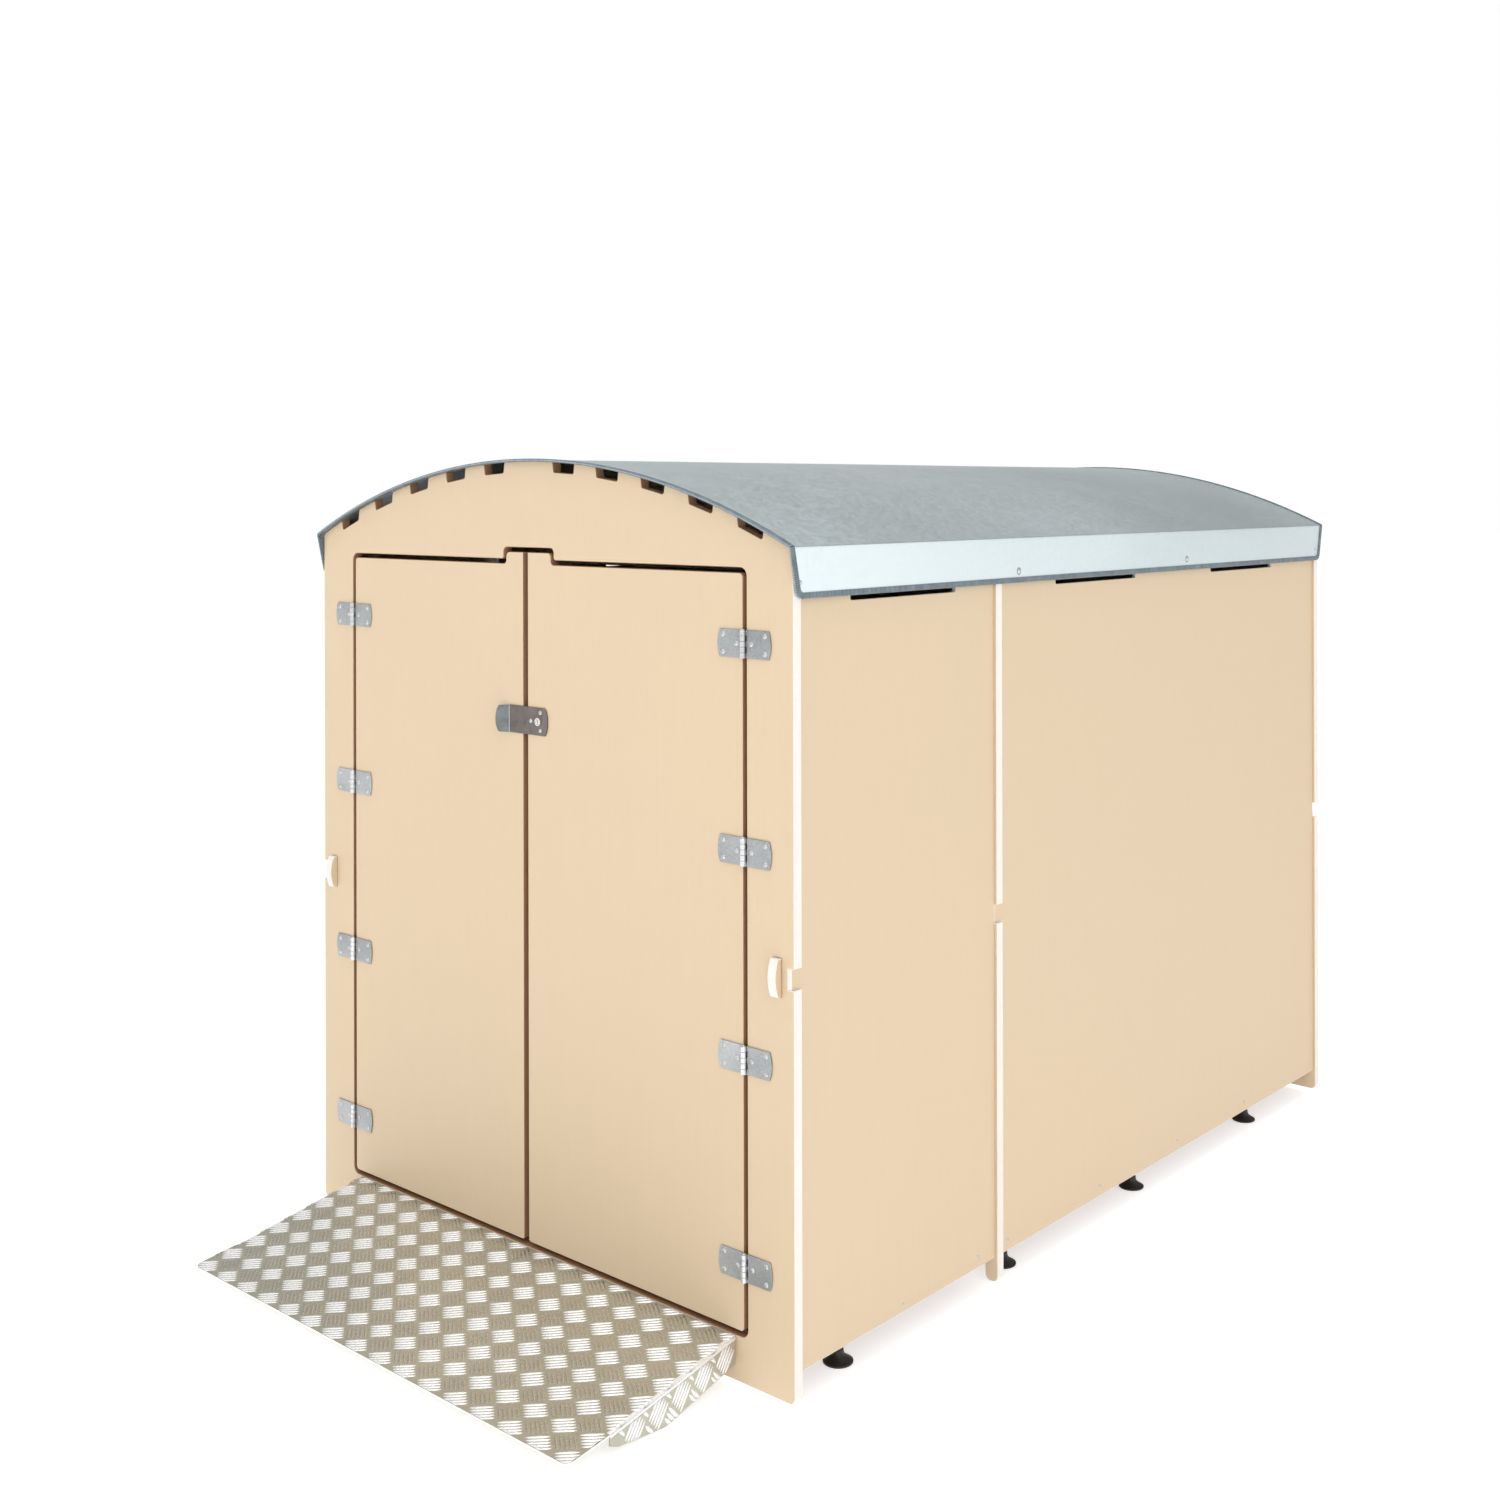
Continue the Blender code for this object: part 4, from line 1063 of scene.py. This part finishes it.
# ---------------------------------------------------------------- latch plate
# A brown-grey steel plate on the right door that laps the left one. Its free end is bent
# outwards at 45 degrees, and both ends are bowed; three screws hold it beside the lock.
LATCH_H = 0.057
LATCH_LEFT = -0.058
LATCH_RIGHT = 0.062
LATCH_T = 0.0025
LIP_L = 0.0317
BEND_R = 0.004
END_BOW = 0.010
SOFT_EDGE = 0.0006
LATCH_SCREWS = ((0.0105, 1.189), (0.0398, 1.208), (0.0398, 1.1706))


def bent(along, off):
    """(x, y) of the plate's section: along is measured leftwards from the bend's start.

    Up to the bend the plate is flat against the door; over BEND_R * 45 degrees it turns
    outwards, and after that it is straight again. off is the distance in front of its back.
    """
    turn = np.clip(along / BEND_R, 0, math.pi / 4)
    rest = np.clip(along - BEND_R * math.pi / 4, 0, None)
    flat_part = np.clip(along, None, 0)
    x = LATCH_LEFT - flat_part - BEND_R * np.sin(turn) - rest * np.cos(turn) + off * np.sin(turn)
    y = -BEND_R * (1 - np.cos(turn)) - rest * np.sin(turn) - off * np.cos(turn)
    return x, FRONT - GAP + y


stations = np.concatenate([
    LATCH_LEFT - LATCH_RIGHT + END_BOW * (1 - np.cos(np.radians(np.linspace(0, 75, 10)))),
    np.linspace(-0.110, 0, 8), np.linspace(0, BEND_R * math.pi / 4, 6)[1:],
    LIP_L - END_BOW * (1 - np.cos(np.radians(np.linspace(75, 0, 10)))),
])
far_right = (stations - (LATCH_LEFT - LATCH_RIGHT)) / END_BOW
far_left = (LIP_L - stations) / END_BOW
end = np.clip(1 - np.minimum(far_right, far_left), 0, 1)
half_height = LATCH_H / 2 * np.sqrt(np.clip(1 - end ** 2, 0.0, 1)) + SOFT_EDGE
lift = np.array([SOFT_EDGE, 0, 0, SOFT_EDGE, LATCH_T - SOFT_EDGE, LATCH_T, LATCH_T, LATCH_T - SOFT_EDGE])
level_share = np.array([-1, -1, 1, 1, 1, 1, -1, -1])
trimmed = np.array([0, SOFT_EDGE, SOFT_EDGE, 0, 0, SOFT_EDGE, SOFT_EDGE, 0])
s_grid = np.broadcast_to(stations[:, None], (len(stations), 8))
off = np.broadcast_to(lift[None], s_grid.shape)
x, y = bent(s_grid, off)
z = LATCH_LEVEL + level_share[None] * (half_height[:, None] - trimmed[None])
points = np.stack([x, y, z], -1).reshape(-1, 3)
faces = grid_faces(len(stations), 8, 0, False, True).tolist()
faces += [list(range(8)), list(range((len(stations) - 1) * 8, len(stations) * 8))[::-1]]
latch_steel = metal(
    "latch_steel", plated, (0.27, 0.235, 0.215), (0.12, 0.105, 0.098), 0.34, 0.9, RELIEF,
    Cloud_Scale=45.0, Spangle_Scale=600.0, Spangle=0.30,
)
# a bluer, brighter copy of the steel for the lip: a painted reflection
lip_painted_reflection = metal(
    "latch_lip_painted_reflection", plated, (0.31, 0.335, 0.345), (0.12, 0.135, 0.145), 0.34, 0.9, RELIEF,
    Cloud_Scale=45.0, Spangle_Scale=600.0, Spangle=0.35,
)
# a near-white band over the bend: a painted highlight
bend_painted_highlight = metal(
    "latch_bend_painted_highlight", plated, (0.85, 0.87, 0.88), (0.55, 0.57, 0.58), 0.30, 0.9,
    Cloud_Scale=200.0, Spangle_Scale=900.0, Spangle=0.30,
)
row_of = np.concatenate([np.repeat(np.arange(len(stations) - 1), 8), [0, len(stations) - 2]])
along_plate = (stations[row_of] + stations[row_of + 1]) / 2
# the flat part takes the brown-grey steel, the bend the near-white band, a painted highlight, and the lip
# the bluer copy, a painted reflection
slots = np.where(along_plate < 0, 0, np.where(along_plate < BEND_R * math.pi / 4, 2, 1))
plate = mesh_object(
    "latch_plate_steel", points, faces, [latch_steel, lip_painted_reflection, bend_painted_highlight], slots,
)
fitted(plate, "door_right", "zinc", "latch_plate")

spots = [(x, FRONT - GAP - LATCH_T, BASE + z) for x, z in LATCH_SCREWS]
heads = heads_at(spots, "-Y", 0.0046, 0.0019)
latch_screws = mesh_object("latch_screws", *together(heads), [screw_zinc])
fitted(latch_screws, "door_right", "zinc")

# ---------------------------------------------------------------- lock
# A nickel-plated cylinder through the plate and the door. The plug with its keyhole turns in
# it, and carries a cam behind the door.
PLUG_R = 0.0055
face_y = FRONT - GAP - LATCH_T - 0.0035
back_y = FRONT + FRAME_T + 0.001
nickel = metal(
    "lock_nickel", plated, (0.86, 0.85, 0.82), (0.62, 0.61, 0.58), 0.24, 1.0,
    Cloud_Scale=200.0, Spangle_Scale=1500.0, Spangle=0.15,
)
centre = np.array([LOCK_X, LATCH_LEVEL])
cylinder = board(
    "lock_cylinder_barrel", circle(LOCK_R, 40) + centre, [circle(PLUG_R + GAP, 40) + centre],
    face_y, back_y, "Y", [nickel, nickel], arris=0.0005,
)
fitted(cylinder, "door_right", "zinc", "lock_cylinder")
keyhole = rounded([
    (-0.0006, -0.0036, 0), (0.0006, -0.0036, 0), (0.0006, 0.0010, 0), (0.0015, 0.0018, 0),
    (0.0015, 0.0032, 0), (-0.0015, 0.0032, 0), (-0.0015, 0.0018, 0), (-0.0006, 0.0010, 0),
]) + centre
plug = board(
    "lock_plug_face", circle(PLUG_R, 40) + centre, [keyhole], face_y + 0.0008, back_y, "Y",
    [nickel, nickel], arris=0.0003,
)
fitted(plug, "lock", "zinc", "lock_plug")
cam_outline = rounded([
    (-0.008, -0.068, 0.004), (0.008, -0.068, 0.004), (0.008, 0.008, 0.0055), (-0.008, 0.008, 0.0055),
]) + centre
cam = board(
    "lock_cam_blade", cam_outline, [], back_y + GAP, back_y + GAP + 0.003, "Y", [zinc, zinc],
    arris=0.0004,
)
fitted(cam, "lock", "zinc", "lock_cam")

# ---------------------------------------------------------------- ramp
# One aluminium tread plate, 3.5 mm, hooked at the sill: a sloping deck with a flat toe and a
# flange folded down each side. Groups of five raised bars cover it, each group across its
# neighbours.
RAMP_HALF = 0.590
RAMP_T = 0.0035
BEND = 0.007
TOE_CORNER = 0.016
deck_line = np.array([(0.004, 0.096), (0.325, 0.042), (0.425, 0.030)])
foot_line = np.array([(0.004, 0.046), (0.008, 0.042), (0.190, 0.0), (0.305, 0.013), (0.325, 0.021)])
deck_run = np.concatenate([[0], np.cumsum(np.hypot(*np.diff(deck_line, axis=0).T))])
KNEE = deck_run[1]
TOE = deck_run[2]


def on_deck(s):
    """How far out and how high the deck's top is, at a length s down it from the sill."""
    return np.interp(s, deck_run, deck_line[:, 0]), np.interp(s, deck_run, deck_line[:, 1])


def plate_points(s, w, off):
    """Points of the ramp's plate, at s down it, w across its flattened width and off its top.

    w is 0 in the middle. Up to the bend the plate is flat; over a quarter circle it turns
    down, and then it is the flange. off is the distance below its outer face.
    """
    out, up = on_deck(s)
    flat = RAMP_HALF - BEND
    size = np.abs(w)
    turn = np.clip((size - flat) / BEND, 0, math.pi / 2)
    down = np.clip(size - flat - BEND * math.pi / 2, 0, None)
    x = np.clip(size, None, flat) + (BEND - off) * np.sin(turn)
    z = up - BEND + (BEND - off) * np.cos(turn) - down
    return np.stack([np.sign(w) * x, FRONT - out, z], -1)


def flange_reach(s):
    """Width of the flattened plate at s, from the middle to the flange's foot."""
    out, up = on_deck(s)
    foot = np.interp(out, foot_line[:, 0], foot_line[:, 1])
    return RAMP_HALF - BEND + BEND * math.pi / 2 + (up - BEND - foot)


bend_steps = RAMP_HALF - BEND + BEND * np.linspace(0, math.pi / 2, 9)
foot_stations = np.array([0.004, 0.008, 0.100, 0.190, 0.250, 0.305, 0.325])
s_deck = np.interp(foot_stations, deck_line[:, 0], deck_run)
half_cross = np.concatenate([np.linspace(0, RAMP_HALF - BEND - 0.002, 12), bend_steps])
share = np.linspace(0, 1, 5)[1:]
widths = flange_reach(s_deck)
tail_width = bend_steps[-1] + (widths[:, None] - bend_steps[-1]) * share[None]
half_grid = np.hstack([np.broadcast_to(half_cross, (len(s_deck), len(half_cross))), tail_width])
w_grid = np.hstack([-half_grid[:, :0:-1], half_grid])
s_grid = np.broadcast_to(s_deck[:, None], w_grid.shape)
channel = two_skinned([plate_points(s_grid, w_grid, off) for off in (0.0, RAMP_T)])

toe_s = KNEE + (TOE - KNEE) * np.concatenate([
    np.linspace(0, 1 - TOE_CORNER / (TOE - KNEE), 6),
    1 - TOE_CORNER / (TOE - KNEE) * (1 - np.sin(np.linspace(0, math.pi / 2, 8)[1:])),
])
short = np.clip(toe_s - (TOE - TOE_CORNER), 0, TOE_CORNER)
toe_half = RAMP_HALF - TOE_CORNER + np.sqrt(np.clip(TOE_CORNER ** 2 - short ** 2, 1e-8, None))
cross = np.linspace(-1, 1, 25)
toe_out, toe_up = on_deck(toe_s)
toe_w = toe_half[:, None] * cross[None]


def flat_toe(off):
    """The toe's skin: flat across, off below its top."""
    y = np.broadcast_to(FRONT - toe_out[:, None], toe_w.shape)
    z = np.broadcast_to(toe_up[:, None] - off, toe_w.shape)
    return np.stack([toe_w, y, z], -1)


toe = two_skinned([flat_toe(0.0), flat_toe(RAMP_T)])
toe_skin = (toe_w.shape[0] - 1) * (toe_w.shape[1] - 1)

# rolled aluminium: clouded and slightly scuffed, its raised bars brighter than the ground as a painted
# highlight
tree, given, end = effect(
    "rolled_aluminium",
    [("Bright", "Color", (0.86, 0.86, 0.84, 1)), ("Dull", "Color", (0.55, 0.54, 0.47, 1)),
     ("Roughness", "Float", 0.33)],
    [("Colour", "Color"), ("Roughness", "Float"), ("Height", "Float")],
)
place = node(tree, "TexCoord").outputs["Object"]
cloud = noise(tree, place, 6.0, 4.0)
scuff = noise(tree, place, 1.0, 6.0, (320.0, 30.0, 90.0))
amount = maths(tree, "ADD", maths(tree, "MULTIPLY", cloud, 0.6), maths(tree, "MULTIPLY", scuff, 0.4))
tint = mixed(tree, amount, given["Dull"], given["Bright"])
rough = around(tree, given["Roughness"], scuff, 0.3)
rolled = filled_in(tree, end, {"Colour": tint, "Roughness": rough, "Height": scuff})
tread_ground = metal(
    "tread_plate_ground", rolled, (0.58, 0.57, 0.475), (0.34, 0.33, 0.265), 0.38, 0.45, RELIEF,
)
# near-white bars: a painted highlight where the bars catch the light
tread_bar_painted_highlight = metal(
    "tread_plate_bars_painted_highlight", rolled, (0.97, 0.975, 0.98), (0.86, 0.87, 0.88), 0.28, 0.35,
)
# a duller copy of the bars: painted shade for the groups that lie the other way
tread_bar_painted_shade = metal(
    "tread_plate_bars_painted_shade", rolled, (0.74, 0.73, 0.67), (0.46, 0.45, 0.39), 0.26, 0.8,
)
# the faces over the deck's side bends and round the toe's edge take the near-white bar finish: a painted
# highlight
flattened = np.abs(w_grid)
at_bend = (flattened > RAMP_HALF - BEND - 0.003) & (flattened < bend_steps[-1] + 0.003)
bend_highlight_faces = at_bend[:-1, :-1] & at_bend[:-1, 1:]
plate_faces = [*channel[1], *toe[1]]
slots = np.zeros(len(plate_faces), int)
slots[:bend_highlight_faces.size] = bend_highlight_faces.ravel()
slots[len(channel[1]) + 2 * toe_skin:] = 1
ramp_plate = mesh_object(
    "ramp_plate", *together([channel, toe]), [tread_ground, tread_bar_painted_highlight], slots,
)
fitted(ramp_plate, "ramp", "tread_plate", "ramp")

# the raised bars: a lattice of groups, those on the lattice along one diagonal and those
# half a step off it along the other
PITCH_X = 0.07595
PITCH_S = 0.0590
FIRST_X = -0.4865 - 2 * PITCH_X
FIRST_S = 0.058 - 2 * PITCH_S
diagonals = np.array([(PITCH_X / 2, -PITCH_S / 2), (PITCH_X / 2, PITCH_S / 2)])
columns_of, rows_of = np.meshgrid(np.arange(20), np.arange(10), indexing="ij")
lattice = np.stack([
    FIRST_X + PITCH_X * columns_of.ravel(), FIRST_S + PITCH_S * rows_of.ravel(),
], -1)
five = (np.arange(5) - 2) * 0.176
bars = []
for shift, lengthwise, sideways in ((0, 0, 1), (0.5, 1, 0)):
    group = lattice + shift * np.array([PITCH_X, PITCH_S])
    middles = (group[:, None] + five[None, :, None] * diagonals[sideways]).reshape(-1, 2)
    bars.append((middles, diagonals[lengthwise]))
p = np.cos(np.linspace(math.pi, 0, 9))
q = np.linspace(-1, 1, 5)
p_grid, q_grid = np.meshgrid(p, q, indexing="ij")
lens = 0.0036 * np.sqrt(np.clip(1 - p_grid ** 2, 0.012, 1)) ** 0.8
rise = 0.0016 * (1 - q_grid ** 2) * (1 - p_grid ** 4) - 0.0002
bar_rim = np.concatenate([np.arange(5), np.arange(9, 45, 5), np.arange(43, 39, -1), np.arange(35, 0, -5)])
bar_faces = grid_faces(9, 5)
BAR_POINTS = 45


def raised(limit, where):
    """Bars as closed lenses on a surface, and the slot of each face.

    Point (p, q) of a bar is its middle + p * half its length along its diagonal + q * the
    lens's half width sideways, 1.6 mm high in the middle and falling as 1 - q^2 and 1 - p^4.
    limit(x, s) trims them at the plate's edge, and where(x, s, height) puts them in place.
    """
    points, faces, slots, start = [], [], [], 0
    for which, (middles, diagonal) in enumerate(bars):
        unit = diagonal / np.hypot(*diagonal)
        aside = np.array([-unit[1], unit[0]])
        offset = 0.92 * p_grid[..., None] * diagonal / 2 * 1.04 + (lens * q_grid)[..., None] * aside
        spots = middles[:, None, None] + offset[None]
        inside = limit(middles[:, 0], middles[:, 1])[1]
        spots = spots[inside]
        clipped, _ = limit(spots[..., 0], spots[..., 1])
        flat = clipped.reshape(len(clipped), -1, 2)
        rim = flat[:, bar_rim]
        ahead = np.roll(rim, -1, 1)
        cover = (rim[..., 0] * ahead[..., 1] - rim[..., 1] * ahead[..., 0]).sum(1) / 2
        kept = np.abs(cover) > 0.25 * np.abs(cover).max()
        flat = flat[kept]
        height = np.broadcast_to(rise.ravel(), flat.shape[:2])
        block = where(flat[..., 0], flat[..., 1], height)
        count = len(block)
        points.append(block.reshape(-1, 3))
        base = start + BAR_POINTS * np.arange(count)[:, None, None]
        faces.append((bar_faces[None][:, :, ::-1] + base).reshape(-1, 4).tolist())
        faces.append((bar_rim[None][:, ::-1] + base[:, 0]).tolist())
        slots += [which] * (len(faces[-2]) + len(faces[-1]))
        start += BAR_POINTS * count
    return np.vstack(points), [face for block in faces for face in block], slots


def deck_limit(x, s):
    """Clips to the deck, up to where its sides bend; also tells which middles lie near it."""
    side = RAMP_HALF - 0.0015
    clipped = np.stack([np.clip(x, -side, side), np.clip(s, 0.0015, TOE - 0.0015)], -1)
    near = (np.abs(x) < side + 0.012) & (s > -0.012) & (s < TOE + 0.012)
    return clipped, near


def on_plate(x, s, height):
    """A place on the deck or the toe, with its height square to the slope."""
    out, up = on_deck(s)
    slope = np.where(s < KNEE, 0.168, 0.12)
    droop = np.clip(np.abs(x) - (RAMP_HALF - BEND), 0, BEND * 0.98)
    fall = np.where(s < KNEE, BEND - np.sqrt(BEND ** 2 - droop ** 2), 0)
    return np.stack([x, FRONT - out - slope * height, up + height - fall], -1)


def flange_limit(x, s):
    """Clips to the flattened flange, whose x runs on from the deck's past the bend."""
    side = RAMP_HALF - BEND + BEND * math.pi / 2 + 0.001
    foot = flange_reach(np.clip(s, 0, KNEE)) - 0.0012
    s_in = np.clip(s, 0.0015, KNEE - 0.0015)
    foot_in = flange_reach(s_in) - 0.0012
    clipped = np.stack([np.clip(x, side, np.maximum(foot_in, side)), s_in], -1)
    near = (x > side - 0.010) & (x < foot + 0.006) & (s > -0.004) & (s < KNEE + 0.004)
    return clipped, near


def on_flange(sign):
    """Gives the function that puts a point of the flattened flange in place on one side."""
    def place_it(x, s, height):
        out, up = on_deck(s)
        down = x - (RAMP_HALF - BEND + BEND * math.pi / 2)
        side = sign * (RAMP_HALF + height)
        return np.stack([side, FRONT - out, up - BEND - down], -1)
    return place_it


deck_bars = raised(deck_limit, on_plate)
right_bars = raised(flange_limit, on_flange(1))
left_bars = raised(flange_limit, on_flange(-1))
shapes = [deck_bars[:2], right_bars[:2], (left_bars[0], [face[::-1] for face in left_bars[1]])]
# the deck's groups on the lattice take the near-white bars, a painted highlight, and those half a step off
# take the duller copy, a painted shade; the flanges' bars all take the near-white one
tread_bars = mesh_object(
    "ramp_tread_bars", *together(shapes), [tread_bar_painted_highlight, tread_bar_painted_shade],
    deck_bars[2] + [0] * len(right_bars[2] + left_bars[2]), sharp=80,
)
fitted(tread_bars, "ramp", "tread_plate")

# ---------------------------------------------------------------- feet
# Eight levelling feet: a black moulded cone on the ground, a lock nut and a zinc-plated
# threaded stem that runs up through the floor.
STEM_R = 0.005
THREAD = 0.0015
NUT_R = 0.0080
pad_profile = [
    (0.0270, 0.0000), (0.0290, 0.0003), (0.0299, 0.0013), (0.0300, 0.0030), (0.0296, 0.0042),
    (0.0278, 0.0050), (0.0220, 0.0085), (0.0170, 0.0122), (0.0140, 0.0152), (0.0125, 0.0176),
    (0.0115, 0.0205), (0.0110, 0.0240), (0.0109, 0.0262), (0.0100, 0.0270), (0.0054, 0.0270),
]
black = new_material(
    "foot_black_plastic", film_face,
    {"Colour": (0.022, 0.021, 0.020, 1), "Grain Scale": (220.0, 220.0, 220.0), "Grain": 0.8,
     "Roughness": 0.42}, RELIEF,
)


def threaded(low_z, high_z, segments=16):
    """A threaded rod: its radius falls by up to 0.6 mm with a wave that climbs one pitch a turn."""
    rows_up = round((high_z - low_z) / THREAD * 5)
    levels = np.linspace(low_z, high_z, rows_up)
    angle = np.linspace(0, math.tau, segments, endpoint=False)
    phase = (levels[:, None] / THREAD - angle[None] / math.tau) % 1
    radius = STEM_R - 0.0006 * np.abs(2 * phase - 1)
    return turned(list(zip(radius, levels)), segments)


stem_low, stem_high = (corner.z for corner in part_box("foot_stem_left_1"))
flats = hexagon(NUT_R)
nut = turned([
    (flats * 0.94, stem_low), (flats, stem_low + 0.0006), (flats, stem_low + 0.0052),
    (flats * 0.94, stem_low + 0.0058), (0.0052, stem_low + 0.0058),
], 24)
rod = threaded(stem_low, stem_high)
for side, sign in (("left", -1), ("right", 1)):
    for row, place_y in enumerate(FOOT_PLACES, start=1):
        centre = (sign * FOOT_X, FRONT + place_y, 0)
        name = f"{side}_{row}"
        points, faces = turned(pad_profile, 48)
        pad = mesh_object(f"foot_pad_{name}_cone", points + centre, faces, [black])
        fitted(pad, f"foot_{name}", "foot_black", f"foot_pad_{name}")
        points, faces = together([rod, nut])
        stem = mesh_object(f"foot_stem_{name}_thread", points + centre, faces, [screw_zinc])
        fitted(stem, f"foot_{name}", "zinc", f"foot_stem_{name}")
